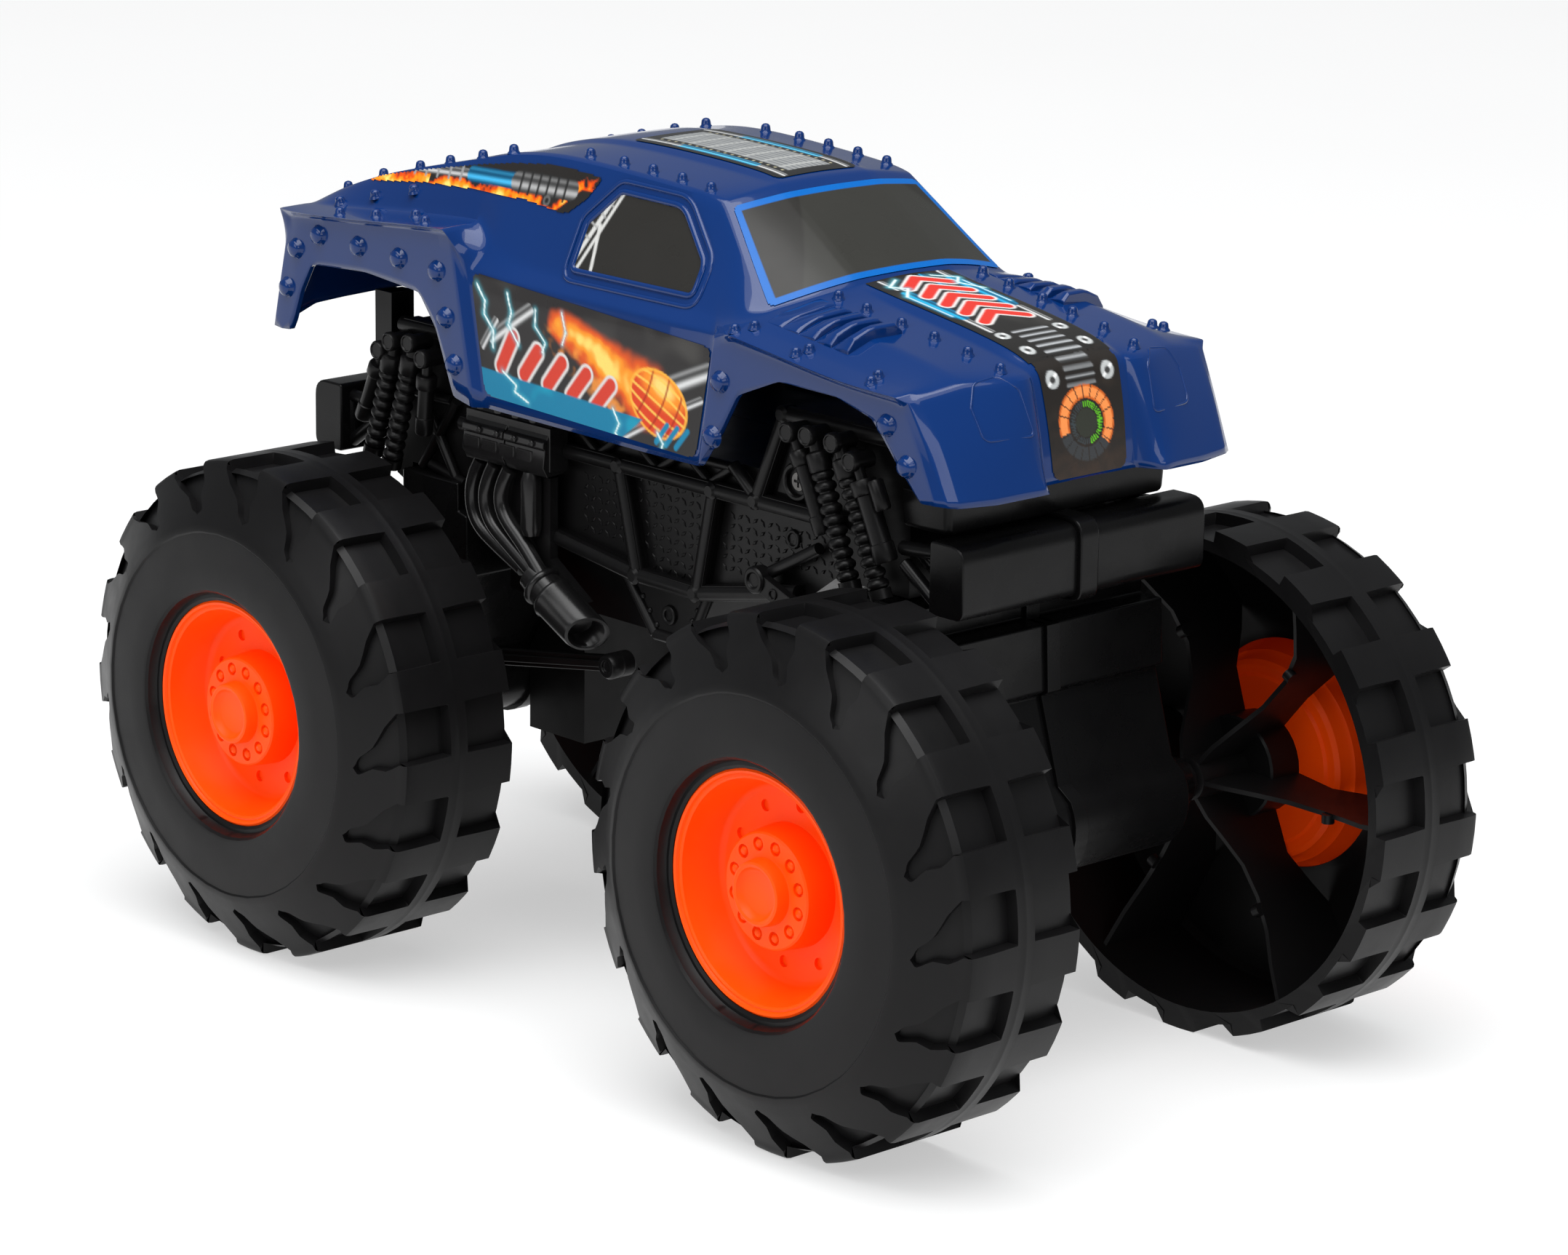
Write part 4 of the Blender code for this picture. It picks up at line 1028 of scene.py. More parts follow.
def tyre_rows():
    """Rows across the outer surface: (x, radius, recess depth, recess half angle, skew in degrees)."""
    full = HALF_RECESS
    rows = [(60.5, 75.0, 3.4, full, 0.0), (61.2, 75.0, 3.4, full, 0.0), (68.0, 75.0, 3.4, full, 0.0),
            (76.6, 75.0, 3.4, full * 0.97, 0.0), (77.2, 75.0, 0.0, full * 0.97, 0.0),
            (79.8, 74.92, 0.0, full, 0.0), (80.2, 75.0, 0.0, full, 0.0), (80.6, 74.92, 0.0, full, 0.0),
            (83.4, 75.0, 0.0, full * 0.97, 0.0), (84.0, 75.0, 3.4, full * 0.97, 0.0),
            (92.0, 75.0, 3.4, full, 0.0), (98.2, 75.0, 3.4, full, 0.0), (99.6, 74.7, 3.4, full, 0.0),
            (100.4, 73.9, 3.4, full, 0.0), (100.8, 72.6, 3.4, full, 0.0)]
    for t in (0.15, 0.3, 0.45, 0.6, 0.72, 0.82, 0.9, 0.95, 0.985):
        rows.append((100.8 + 6.4 * t, 72.6 - 12.2 * t, 3.4 - 1.3 * t, pocket_half(t), POCKET_SKEW * t))
    rows += [(107.5, 59.8, 0.0, 0.0, POCKET_SKEW), (108.6, 57.4, 0.0, 0.0, POCKET_SKEW)]
    rim_side = ((109.5, 55.3), (109.5, 55.0), (109.1, 54.5), (109.15, 54.1), (109.7, 46.0),
                (110.1, 38.6), (109.9, 37.6), (109.2, 36.9),
                (107.4, 36.4), (106.6, 35.9), (106.7, 34.9), (106.2, 34.0))
    return rows + [(x, radius, 0.0, 0.0, POCKET_SKEW) for x, radius in rim_side]


def tyre_columns():
    """Per pitch: (side of the recess middle -1..1 or beyond, is it sunk)."""
    return [(-1.0, 0), (-0.96, 1), (-0.4, 1), (0.4, 1), (0.96, 1), (1.0, 0),
            (1.14, 0), (1.7, 0), (2.26, 0), (2.4, 0)]


def make_tyre_form():
    """The left tyre on its own axis: x runs outwards from the truck, a lug points straight down."""
    form = bmesh.new()
    inner = [(103.6, 34.0), (104.0, 36.5), (99.0, 66.4), (97.0, 68.3), (80.0, 68.4), (61.0, 68.2)]
    columns = []
    for lug in range(LUGS):
        middle = -math.pi / 2 + (lug + 0.5) * PITCH
        for part, sunk in tyre_columns():
            column = []
            for x, radius, depth, half, skew in tyre_rows():
                if part <= 1.0:
                    angle = part * half
                else:
                    gap = PITCH - 2 * half
                    angle = half + gap * (part - 1.0) / 1.54
                angle += middle + math.radians(skew)
                r = radius - (depth if sunk else 0.0)
                dx = 0.0
                if sunk and x > 100.0:
                    r, dx = radius - depth * 0.47, -depth * 0.88
                column.append(form.verts.new((x + dx, r * math.cos(angle), r * math.sin(angle))))
            skewed = middle + math.radians(POCKET_SKEW)
            spread = (part + 1.0) / 3.54 * PITCH
            for x, r in inner:
                angle = skewed + spread if r < 60 else middle + spread
                column.append(form.verts.new((x, r * math.cos(angle), r * math.sin(angle))))
            columns.append(column)
    for here, there in zip(columns, columns[1:] + columns[:1]):
        for i in range(len(here)):
            j = (i + 1) % len(here)
            form.faces.new((here[i], here[j], there[j], there[i]))
    return form


def add_tyre_ribs(form):
    """Hub tube, inner drum and six thin curved ribs with a wavy free edge."""
    turned(form, [(60.5, 2.5), (60.5, 5.4), (61, 6.2), (79.6, 6.6), (80, 14.6),
                  (80.6, 15.2), (92, 15.2), (92, 2.5)], 32)
    edge = [(4.8, 61.0), (12, 63.4), (20, 68.5), (28, 73.4), (38, 75.6), (48, 74.2), (58, 69.4), (68.6, 64.6)]
    foot = [(4.8, 91.0), (12, 91.0), (20, 91.4), (28, 91.8), (38, 98.0),
            (48, 103.6), (58, 101.0), (68.6, 96.6)]
    for number in range(6):
        start = TAU * number / 6
        walls = []
        for (r, x_edge), (_, x_foot) in zip(edge, foot):
            bend = start + 0.16 * math.sin(math.pi * (r - 4.8) / 63.8) * (1 - r / 120)
            across = Vector((0, -math.sin(bend), math.cos(bend))) * 0.7
            spot = Vector((0, math.cos(bend), math.sin(bend))) * r
            walls.append([form.verts.new(spot + across * s + Vector((x, 0, 0)))
                          for x, s in ((x_edge, -1), (x_edge, 1), (x_foot, 1), (x_foot, -1))])
        for a, b in zip(walls, walls[1:]):
            for i in range(4):
                j = (i + 1) % 4
                form.faces.new((a[i], a[j], b[j], b[i]))
        form.faces.new(walls[0][::-1])
        form.faces.new(walls[-1])
        mark = Vector((75.0, math.cos(start + 0.12) * 41.6, math.sin(start + 0.12) * 41.6))
        turned(form, [(-1.3, 0), (-1.3, 1.9), (1.3, 1.9), (1.3, 0)], 12,
               mark, (0, -math.sin(start), math.cos(start)))


def make_rim_form():
    """The left rim: double-bead lip, cone, flange, and the boss with its cap ring."""
    form = bmesh.new()
    profile = [(103.0, 33.6), (104.6, 34.2), (105.8, 34.0), (106.4, 33.3), (106.1, 32.6), (105.5, 32.3),
               (105.6, 31.7), (105.2, 31.1), (104.2, 30.9), (94.8, 28.2), (93.9, 27.2), (93.6, 26.0),
               (93.4, 18.6), (93.8, 17.2), (101.6, 16.5), (102.6, 16.2), (103.0, 15.7), (103.0, 10.1),
               (103.3, 9.4), (106.2, 9.1), (107.1, 8.8),
               (107.3, 8.2), (107.1, 7.4), (106.4, 7.0), (105.7, 6.4), (105.4, 5.6), (105.4, 0)]
    back = [(99.0, 0), (99.0, 2.6), (91.6, 2.6), (91.6, 24.6), (92.4, 25.4), (92.4, 28.0), (93.4, 29.4),
            (96.4, 30.4), (97.4, 31.6), (101.0, 32.6), (103.0, 33.6)]
    turned(form, back[::-1], 96)
    turned(form, profile, 96)
    bmesh.ops.remove_doubles(form, verts=form.verts, dist=0.001)
    return form


def carve(target, tool_form):
    """Cut a drawn form out of a piece, for good."""
    tool = piece("cutter", tool_form, "black", None, None)
    cut = target.modifiers.new("cut", "BOOLEAN")
    cut.operation = "DIFFERENCE"
    cut.solver = "EXACT"
    cut.object = tool
    graph = bpy.context.evaluated_depsgraph_get()
    target.data = bpy.data.meshes.new_from_object(target.evaluated_get(graph))
    target.modifiers.clear()
    bpy.data.objects.remove(tool)
    target.data.shade_smooth()
    target.data.set_sharp_from_angle(angle=math.radians(32))


def drilled(target, holes, x_low, x_high):
    """Cut round holes (radius of the circle, angle, hole radius) along X through a piece."""
    form = bmesh.new()
    for circle, angle, radius in holes:
        centre = (0, circle * math.cos(angle), circle * math.sin(angle))
        turned(form, [(x_low, 0), (x_low, radius), (x_high, radius), (x_high, 0)], 24, centre)
    carve(target, form)


def place_wheel(source, name, replaced, body, end, sign):
    """Copy a left-hand wheel piece on to an axle; the right one is the same piece turned half round."""
    made = bpy.data.objects.new(name, source.data.copy())
    turn = Matrix.Rotation(math.pi, 4, "Z") if sign < 0 else Matrix.Identity(4)
    made.data.transform(Matrix.Translation(Vector((0, end * AXLE_Y, AXLE_Z)) * MM) @ turn)
    bpy.context.scene.collection.objects.link(made)
    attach(made, body)
    if replaced:
        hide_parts(replaced)
    return made


def make_wheels():
    tyre_form = make_tyre_form()
    tyre = piece("tyre_source", tyre_form, "tyre", None, None, smooth=28)
    rib_form = bmesh.new()
    add_tyre_ribs(rib_form)
    ribs = piece("ribs_source", rib_form, "tyre", None, None, smooth=35)
    rim = piece("rim_source", make_rim_form(), "orange", None, None, smooth=32)
    bolts = [(12.9, TAU * (k + 0.5) / 12, 1.95) for k in range(12)]
    drilled(rim, bolts, 101.9, 104.0)
    drilled(rim, [(22.4, TAU * (k + 0.3) / 10, 1.7) for k in range(10)], 92.4, 98.0)
    stud_form = bmesh.new()
    for circle, angle, _ in bolts:
        centre = (0, circle * math.cos(angle), circle * math.sin(angle))
        turned(stud_form, [(101.0, 1.25), (102.7, 1.25), (103.15, 0.9), (103.3, 0)], 16, centre)
    studs = piece("studs_source", stud_form, "orange", None, None, smooth=50)
    for where, end in ENDS:
        for side, sign in SIDES:
            tag, body = "%s_%s" % (where, side), where + "_axle"
            place_wheel(tyre, "tyre_tread_" + tag, "tyre_" + tag, body, end, sign)
            place_wheel(ribs, "tyre_ribs_" + tag, None, body, end, sign)
            place_wheel(rim, "rim_dish_" + tag, "rim_" + tag, body, end, sign)
            place_wheel(studs, "rim_studs_" + tag, None, body, end, sign)
    for source in (tyre, ribs, rim, studs):
        bpy.data.objects.remove(source)


# ================================================================ chassis

PLATE_X = 40.0                        # outer face of the chassis sides
RAIL_X, RAIL_R = 42.6, 2.45
AXLE_HOUSING_X = 45.0
STRUT_X = {"pin": (44.6, 53.0), "top": 49.6, "foot": 48.2}


def mirrored_pair(name, draw, look="black", replaced=None, slot="black_plastic", **finish):
    """Draw a piece of the left side, and the same piece mirrored for the right."""
    for side, sign in SIDES:
        form = bmesh.new()
        draw(form)
        bmesh.ops.scale(form, vec=Vector((sign, 1, 1)), verts=form.verts)
        made = piece(name + "_" + side, form, look, "chassis", slot, **finish)
        if replaced:
            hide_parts(replaced + "_" + side)


def bar(form, x, start, end, radius, sides=12):
    """A round bar in the side plane x, between two (y, z) points."""
    tube(form, [(x, *start), (x, *end)], radius, sides)


def ring_boss(form, x, spot, radius, bore, height):
    """A round boss on the side plane with a sunken middle."""
    wall = radius - bore
    turned(form, [(-0.6, radius + 0.3), (height * 0.8, radius), (height, radius - 0.25 * wall),
                  (height, bore + 0.25 * wall), (height * 0.8, bore), (0.3, bore), (0.3, 0)], 24, (x, *spot))


def lozenge(form, x, y, z, turn):
    """One raised tread mark of the chequered plate."""
    long, wide, tall = 1.35, 0.55, 0.36
    rings = []
    for scale, rise in ((1.0, -0.2), (1.0, 0.15), (0.55, tall)):
        corners = ((long, 0), (0, wide), (-long, 0), (0, -wide))
        rings.append([form.verts.new((x + rise,
                                      y + scale * (a * math.cos(turn) - b * math.sin(turn)),
                                      z + scale * (a * math.sin(turn) + b * math.cos(turn))))
                      for a, b in corners])
    form.faces.new(rings[0][::-1])
    form.faces.new(rings[-1])
    for low, high in zip(rings, rings[1:]):
        for i in range(4):
            j = (i + 1) % 4
            form.faces.new((low[i], low[j], high[j], high[i]))


def chequer(form, outline, pitch=3.1):
    """Cover a part of the side plate with tread marks that turn by a right angle, mark by mark."""
    us, vs = zip(*outline)
    for row in range(int((max(vs) - min(vs)) / pitch) + 1):
        for column in range(int((max(us) - min(us)) / pitch) + 1):
            u, v = min(us) + column * pitch, min(vs) + row * pitch
            if contains(outline, u, v):
                lozenge(form, PLATE_X, u, v, math.radians(50 if (row + column) % 2 else -40))


def draw_plate_marks(form):
    chequer(form, [(33, 155), (15.5, 155), (9.5, 134), (33, 137)])
    chequer(form, [(-30, 155.5), (-72, 155.5), (-72, 142), (-60, 141), (-25, 134)])
    chequer(form, [(9, 156), (-23.5, 156), (-18, 131), (3.5, 131)])


def draw_side_rails(form):
    """The moulded tube frame on the outside of each chassis plate."""
    rails = (((-88, 159.6), (84, 159.6)), ((-62, 136.4), (-20, 128.2)), ((-20, 128.2), (6, 128.6)),
             ((6, 128.6), (80, 138.4)), ((13, 159), (5, 128)), ((-27, 159), (-20.5, 128)),
             ((-45, 160), (-56, 186.3)), ((-56, 186.3), (-100, 186.5)), ((87, 185), (112, 185)))
    for start, end in rails:
        bar(form, RAIL_X, start, end, RAIL_R)
    for y, z in ((-45, 159.8), (-56, 186.3), (-20.3, 128.3), (5.4, 128.5), (-27, 159.4), (13, 159.4)):
        turned(form, [(-2.4, 0), (-2.4, 2.6), (2.0, 2.6), (2.9, 1.6), (2.9, 0)], 16, (RAIL_X, y, z))
    for start, end in (((36, 167), (-37, 167)), ((84, 141), (100, 144)), ((88, 141.5), (104, 165)),
                       ((104, 143), (88, 165)), ((90, 165), (116, 165))):
        bar(form, RAIL_X - 0.8, start, end, 1.5)
    low, high = 160.8, 166.8
    for y in (24.0, -2.0, -24.0):
        bar(form, RAIL_X - 0.8, (y + 9.0, high), (y, low), 1.3, 12)
        bar(form, RAIL_X - 0.8, (y, low), (y - 9.0, high), 1.3, 12)
    bar(form, RAIL_X, (-34.5, 168.0), (-44.0, 160.6), 1.9)
    bar(form, RAIL_X + 1.0, (-49.0, 139.2), (-71.0, 151.0), 1.8)


def draw_side_bosses(form):
    """Screw seats, bosses and rivets on the chassis side, and the ribbed keel below it."""
    ring_boss(form, PLATE_X, (-59.5, 167.5), 5.6, 3.9, 2.4)
    ring_boss(form, PLATE_X, (-57.0, 150.5), 2.7, 1.7, 0.9)
    ring_boss(form, PLATE_X, (-5.7, 118.4), 2.8, 1.6, 1.2)
    prism(form, [(-50.6, 163.0), (-58.0, 183.0), (-74.0, 183.0), (-66.4, 163.0)], "X", 39.6, 40.9)
    for start, end in (((13, 127), (0.6, 111.6)), ((-22, 127), (-14.2, 111.6)),
                       ((0.6, 111.6), (-14.2, 111.6))):
        bar(form, PLATE_X, start, end, 1.7)
    for start, end in (((9.2, 125.4), (0.0, 114.4)), ((-19.4, 125.4), (-13.0, 115.0))):
        for spot in between(start, end, 4):
            turned(form, [(-0.3, 0.95), (0.3, 0.9), (0.75, 0.5), (0.85, 0)], 10, (PLATE_X, *spot))
    block(form, (37.6, 44.6), (115.2, 123.0), (160.0, 194.0))
    turned(form, [(0, 0), (0, 3.4), (1.0, 3.8), (4.2, 3.8), (5.2, 3.2), (5.2, 2.0), (4.4, 1.7), (4.4, 0)], 20,
           (39.6, 17, 99))


def draw_engine(form):
    """The dummy engine: valve cover in two lengths, flange, finned columns and intake rail."""
    profile = [(43.5, 153.0), (50.4, 152.4), (52.0, 155.4), (51.4, 160.6), (52.2, 161.2), (52.0, 163.0),
               (50.6, 163.6), (48.2, 168.6), (43.5, 169.0)]
    for low, high in ((36.6, 54.4), (55.0, 73.2)):
        prism(form, profile, "Y", low, high)
    block(form, (43.0, 50.0), (36.0, 73.8), (154.0, 167.0))
    for number in range(4):
        y = 45.4 + number * 7.9
        fins = []
        for fin in range(4):
            z = 168.4 + fin * 2.0
            fins += [(z, 2.2), (z + 0.3, 3.1), (z + 1.1, 3.1), (z + 1.4, 2.2)]
        turned(form, [(167, 0), (167, 2.2), *fins, (177, 2.2), (177, 0)], 16, (47.2, y, 0), (0, 0, 1))
        turned(form, [(-0.4, 1.3), (0.9, 1.1), (1.2, 0.7), (1.2, 0)], 10, (51.8, y - 3.9, 162.1))
        block(form, (43.4, 46.6), (y - 3.6, y + 3.6), (167.0, 175.0))
        block(form, (50.2, 51.9), (y - 3.3, y + 3.3), (155.2, 159.6))
    bar(form, 49.6, (38.0, 174.4), (72.6, 174.4), 1.2)


def draw_headers(form):
    """Three bent header pipes, one short one, and the collector with its open slanted tip."""
    for x, path in ((48.0, ((69.2, 152), (71.8, 147.5), (73.4, 142), (72.6, 136),
                            (69, 131.4), (62, 127.6), (50, 122.4))),
                    (49.2, ((61.6, 152), (64.2, 147.5), (65.8, 142.5), (65, 137.4),
                            (61.5, 133), (54, 128.4), (42, 121.4))),
                    (50.0, ((54, 152), (56.4, 148), (57.8, 143.8), (57.2, 139.6),
                            (54, 135.6), (47, 130), (37, 120.6)))):
        tube(form, curved([(x, y, z) for y, z in path], 6), 2.3, 18)
    turned(form, [(152.6, 0), (152.6, 2.4), (149.8, 3.2), (136.0, 3.2), (133.6, 2.4), (132.8, 0)], 16,
           (48.8, 45.6, 0), (0, 0, 1))
    prism(form, [(72.5, 151), (73, 136), (66, 127), (50, 119), (36, 113), (24, 117), (40, 127), (40, 151)],
          "X", 43.4, 46.4)
    axis = Vector((0, 14.0 - 41.5, 106.0 - 120.5)).normalized()
    collar = [(-3.0, 0), (-3.0, 4.6), (1.0, 5.0), (1.2, 6.0), (1.8, 6.5), (2.6, 6.5), (3.2, 6.0), (3.4, 5.6),
              (6.6, 5.6), (6.8, 6.4), (7.4, 6.9), (8.2, 6.9), (8.8, 6.5), (23.5, 6.3)]
    turned(form, collar, 28, (49.4, 41.5, 120.5), axis)
    rim = len(form.verts) - 28
    form.verts.ensure_lookup_table()
    tip = form.verts[rim:]
    centre = sum((v.co for v in tip), Vector()) / 28
    rings = [tip]
    for scale, push in ((0.96, 0.9), (0.84, 1.0), (0.76, 0.5), (0.74, -5.0)):
        rings.append([form.verts.new(centre + (v.co - centre) * scale + axis * push) for v in tip])
    outward = Vector((1, 0, 0))
    for ring in rings:
        for vert in ring:
            vert.co += axis * 3.0 * -(vert.co - centre).dot(outward) / 6.3
    for here, there in zip(rings, rings[1:]):
        for k in range(28):
            j = (k + 1) % 28
            form.faces.new((here[k], here[j], there[j], there[k]))
    form.faces.new(rings[-1])


def ringed(start, end, root, crest, pitch):
    """Profile of a moulded dummy spring: stacked rounded rings between two depths."""
    count = max(1, round((end - start) / pitch))
    step = (end - start) / count
    profile = []
    for k in range(count):
        for t, rise in ((0.06, 0.0), (0.2, 0.62), (0.36, 0.95), (0.5, 1.0),
                        (0.64, 0.95), (0.8, 0.62), (0.94, 0.0)):
            profile.append((start + step * (k + t), root + (crest - root) * rise))
    return profile


def strut_parts(form, pin, foot, kind):
    """One dummy spring or damper, from its pin on the top rail to its foot."""
    top = Vector((STRUT_X["top"], *pin))
    low = Vector((STRUT_X["foot"], *foot))
    along = (low - top).normalized()
    length = (low - top).length
    low_x, high_x = STRUT_X["pin"]
    turned(form, [(low_x, 0), (low_x, 2.5), (50.6, 2.5), (50.8, 2.9),
                  (high_x - 0.5, 2.9), (high_x, 2.5), (high_x, 2.2),
                  (high_x - 0.3, 2.0), (high_x - 0.3, 0)], 20, (0, *pin))
    if kind == "spring":
        turned(form, [(1.0, 0), (1.0, 1.8), (4.4, 2.0), (5.0, 3.2),
                      (5.6, 3.4), (9.6, 3.4), (10.2, 3.1), (10.2, 0)],
               18, top, along)
        rings = ringed(9.8, length - 1.4, 2.2, 3.15, 3.15)
        turned(form, [(9.6, 0), *rings, (length - 1.2, 0)], 20, top, along)
        turned(form, [(length - 1.6, 0), (length - 1.6, 3.2), (length + 1.2, 3.2), (length + 1.2, 0)],
               18, top, along)
        return
    r = {"slim": 2.4, "stout": 2.95}[kind]
    turned(form, [(1.0, 0), (1.0, 1.6), (5.2, 1.6), (5.4, r + 0.5),
                  (6.0, r + 0.8), (9.0, r + 0.8), (9.6, r + 0.5),
                  (9.8, r), (length - 5.4, r), (length - 5.2, r + 0.4), (length - 0.8, r + 0.4), (length, r),
                  (length, 0)], 20, top, along)
    if kind == "stout":
        turned(form, [(6.0, 0), (6.0, 1.9), (6.6, 2.3), (14.0, 2.3), (14.6, 1.9), (14.6, 0)], 16,
               top + Vector((0.6, math.copysign(5.2, pin[0]), 1.6)), along)


# Each dummy strut: pin and foot as (y, z), and its kind
STRUTS = {
    "front": (((-66.3, 184.2), (-77.6, 157.0), "slim"), ((-74.1, 184.6), (-88.4, 144.4), "spring"),
              ((-84.2, 184.4), (-100.4, 144.4), "spring"), ((-91.4, 180.4), (-102.6, 154), "stout")),
    "rear": (((112.5, 178), (124.5, 155), "slim"), ((107, 181.5), (119.5, 146), "spring"),
             ((98, 182.4), (111, 143.5), "spring"), ((92, 178.6), (95.8, 155), "slim"))}


def make_struts():
    for where, struts in STRUTS.items():
        def draw(form, struts=struts):
            for pin, foot, kind in struts:
                strut_parts(form, pin, foot, kind)
            bar(form, 46.4, struts[0][0], struts[-1][0], 1.9)
        mirrored_pair("strut_pack_" + where, draw, replaced="shocks_" + where, smooth=40)


def draw_front_link(form):
    start, end = (-49, 138.4), (-76, 128.5)
    prism(form, bar_outline(start, end, 2.6), "X", 44.6, 47.4)
    turned(form, [(43.9, 0), (43.9, 3.9), (47.8, 3.9), (48.4, 3.4), (48.4, 2.4), (47.6, 2.0), (47.6, 0)],
           20, (0, *start))
    for spot in between((-56.5, 135.7), (-72, 130.0), 3):
        turned(form, [(47.2, 1.7), (47.9, 1.6), (47.9, 1.1), (46.2, 1.0), (46.2, 0)], 14, (0, *spot))


def draw_rear_link(form):
    start, end = (17, 99), (92, 86.5)
    prism(form, bar_outline(start, end, 2.4), "X", 37.2, 39.8)
    prism(form, bar_outline(start, end, 1.1), "X", 36.2, 40.8)
    turned(form, [(36.2, 0), (36.2, 3.8), (40.6, 3.8), (41.2, 3.2), (41.2, 0)], 20, (0, *start))


def rounded_box(form, corners, radii, low, high):
    """A bar along X from a (y, z) outline whose corners have their own radii."""
    outline = []
    for i, corner in enumerate(corners):
        here = Vector(corner)
        before = (Vector(corners[i - 1]) - here).normalized()
        after = (Vector(corners[(i + 1) % len(corners)]) - here).normalized()
        for k in range(7):
            t = k / 6
            a, b = here + before * radii[i], here + after * radii[i]
            outline.append(tuple(a * (1 - t) ** 2 + here * 2 * t * (1 - t) + b * t * t))
    prism(form, outline, "X", low, high)


def make_bumpers():
    """Rounded box beams with a middle collar and open triangular tube frames at both ends."""
    for name, sign, face, root, arm_x in (("front", -1, 131.0, 103.6, 46.9), ("rear", 1, 149.0, 121.6, 44.6)):
        form = bmesh.new()
        near, far = sign * face, sign * (face - 13)
        rounded_box(form, [(near, 142.2), (near, 163.0), (far, 163.0), (far, 142.2)],
                    (3.6, 5.2, 1.5, 1.5), -47.5, 47.5)
        near, far = sign * (face + 1.5), sign * (face - 12)
        rounded_box(form, [(near, 140.9), (near, 164.4), (far, 164.4), (far, 140.9)],
                    (4.2, 5.8, 1.5, 1.5), -3.6, 3.6)
        for side in (-1, 1):
            x = side * (arm_x - 2.2)
            back = face - 12.0
            for start, end, inward in (((back, 159.0), (root + 1, 158.0), 0),
                                       ((back, 144.8), (root + 2, 154.0), 0),
                                       ((back, 147.0), (root + 2, 156.0), 6.4),
                                       ((back, 158.6), (back, 144.6), 0)):
                ends = [(x - side * inward, sign * y, z) for y, z in (start, end)]
                tube(form, ends, 2.0, 14)
        beam = piece(name + "_bumper_beam", form, "satin_black", "chassis",
                     "black_plastic", smooth=40, bevel=0.7)
        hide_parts(name + "_bumper")


def make_nose():
    """The tray under the shell's nose: rounded in plan and drawn in a little towards the bottom."""
    form = bmesh.new()
    plan = [(-44, -103.4), (-44, -110), (-43, -119.0), (-41.6, -120.2),
            (41.6, -120.2), (43, -119.0), (44, -110),
            (44, -103.4)]
    rings = []
    for z, scale in ((163.4, 0.96), (164.4, 0.985), (174.4, 1.0)):
        rings.append([form.verts.new((x * scale, -103.4 + (y + 103.4) * scale, z)) for x, y in plan])
    form.faces.new(rings[0])
    form.faces.new(rings[-1][::-1])
    for low, high in zip(rings, rings[1:]):
        for i in range(len(plan)):
            j = (i + 1) % len(plan)
            form.faces.new((low[i], high[i], high[j], low[j]))
    prism(form, [(-119.0, 173.6), (-115.0, 173.6), (-115.0, 175.6), (-119.0, 175.6)], "X", -20, 20)
    tray = piece("nose_tray", form, "satin_black", "chassis", "black_plastic", smooth=40, bevel=0.9)
    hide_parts("nose_support")


def housing_outline(grow=0.0):
    """Front housing as offsets (y, z) from the axle: neck, wide band, leaning box and round bulge."""
    arc = [((16.0 + grow) * math.cos(math.radians(a)), (16.0 + grow) * math.sin(math.radians(a)))
           for a in range(150, 391, 12)]
    g = grow
    return [(5.25 - g, 66.6), (5.25 - g, 57), (-2.75 - g, 57), (-3.75 - g, 38),
            (-1.25 - g, 36.5), (-8.75 - g, 12), *arc,
            (32.25 + g, 36.5), (35.25 + g, 38), (35.25 + g, 57), (31.25 + g, 58), (31.25 + g, 66.6)]


def shrunk(outline, wall):
    """The outline moved inwards by a wall thickness."""
    moved = []
    for i, corner in enumerate(outline):
        here = Vector(corner)
        before = (here - Vector(outline[i - 1])).normalized()
        after = (Vector(outline[(i + 1) % len(outline)]) - here).normalized()
        inward = Vector((-(before + after).y, (before + after).x)).normalized()
        moved.append(tuple(here + inward * wall / max(0.5, inward.dot(Vector((-after.y, after.x))))))
    return moved


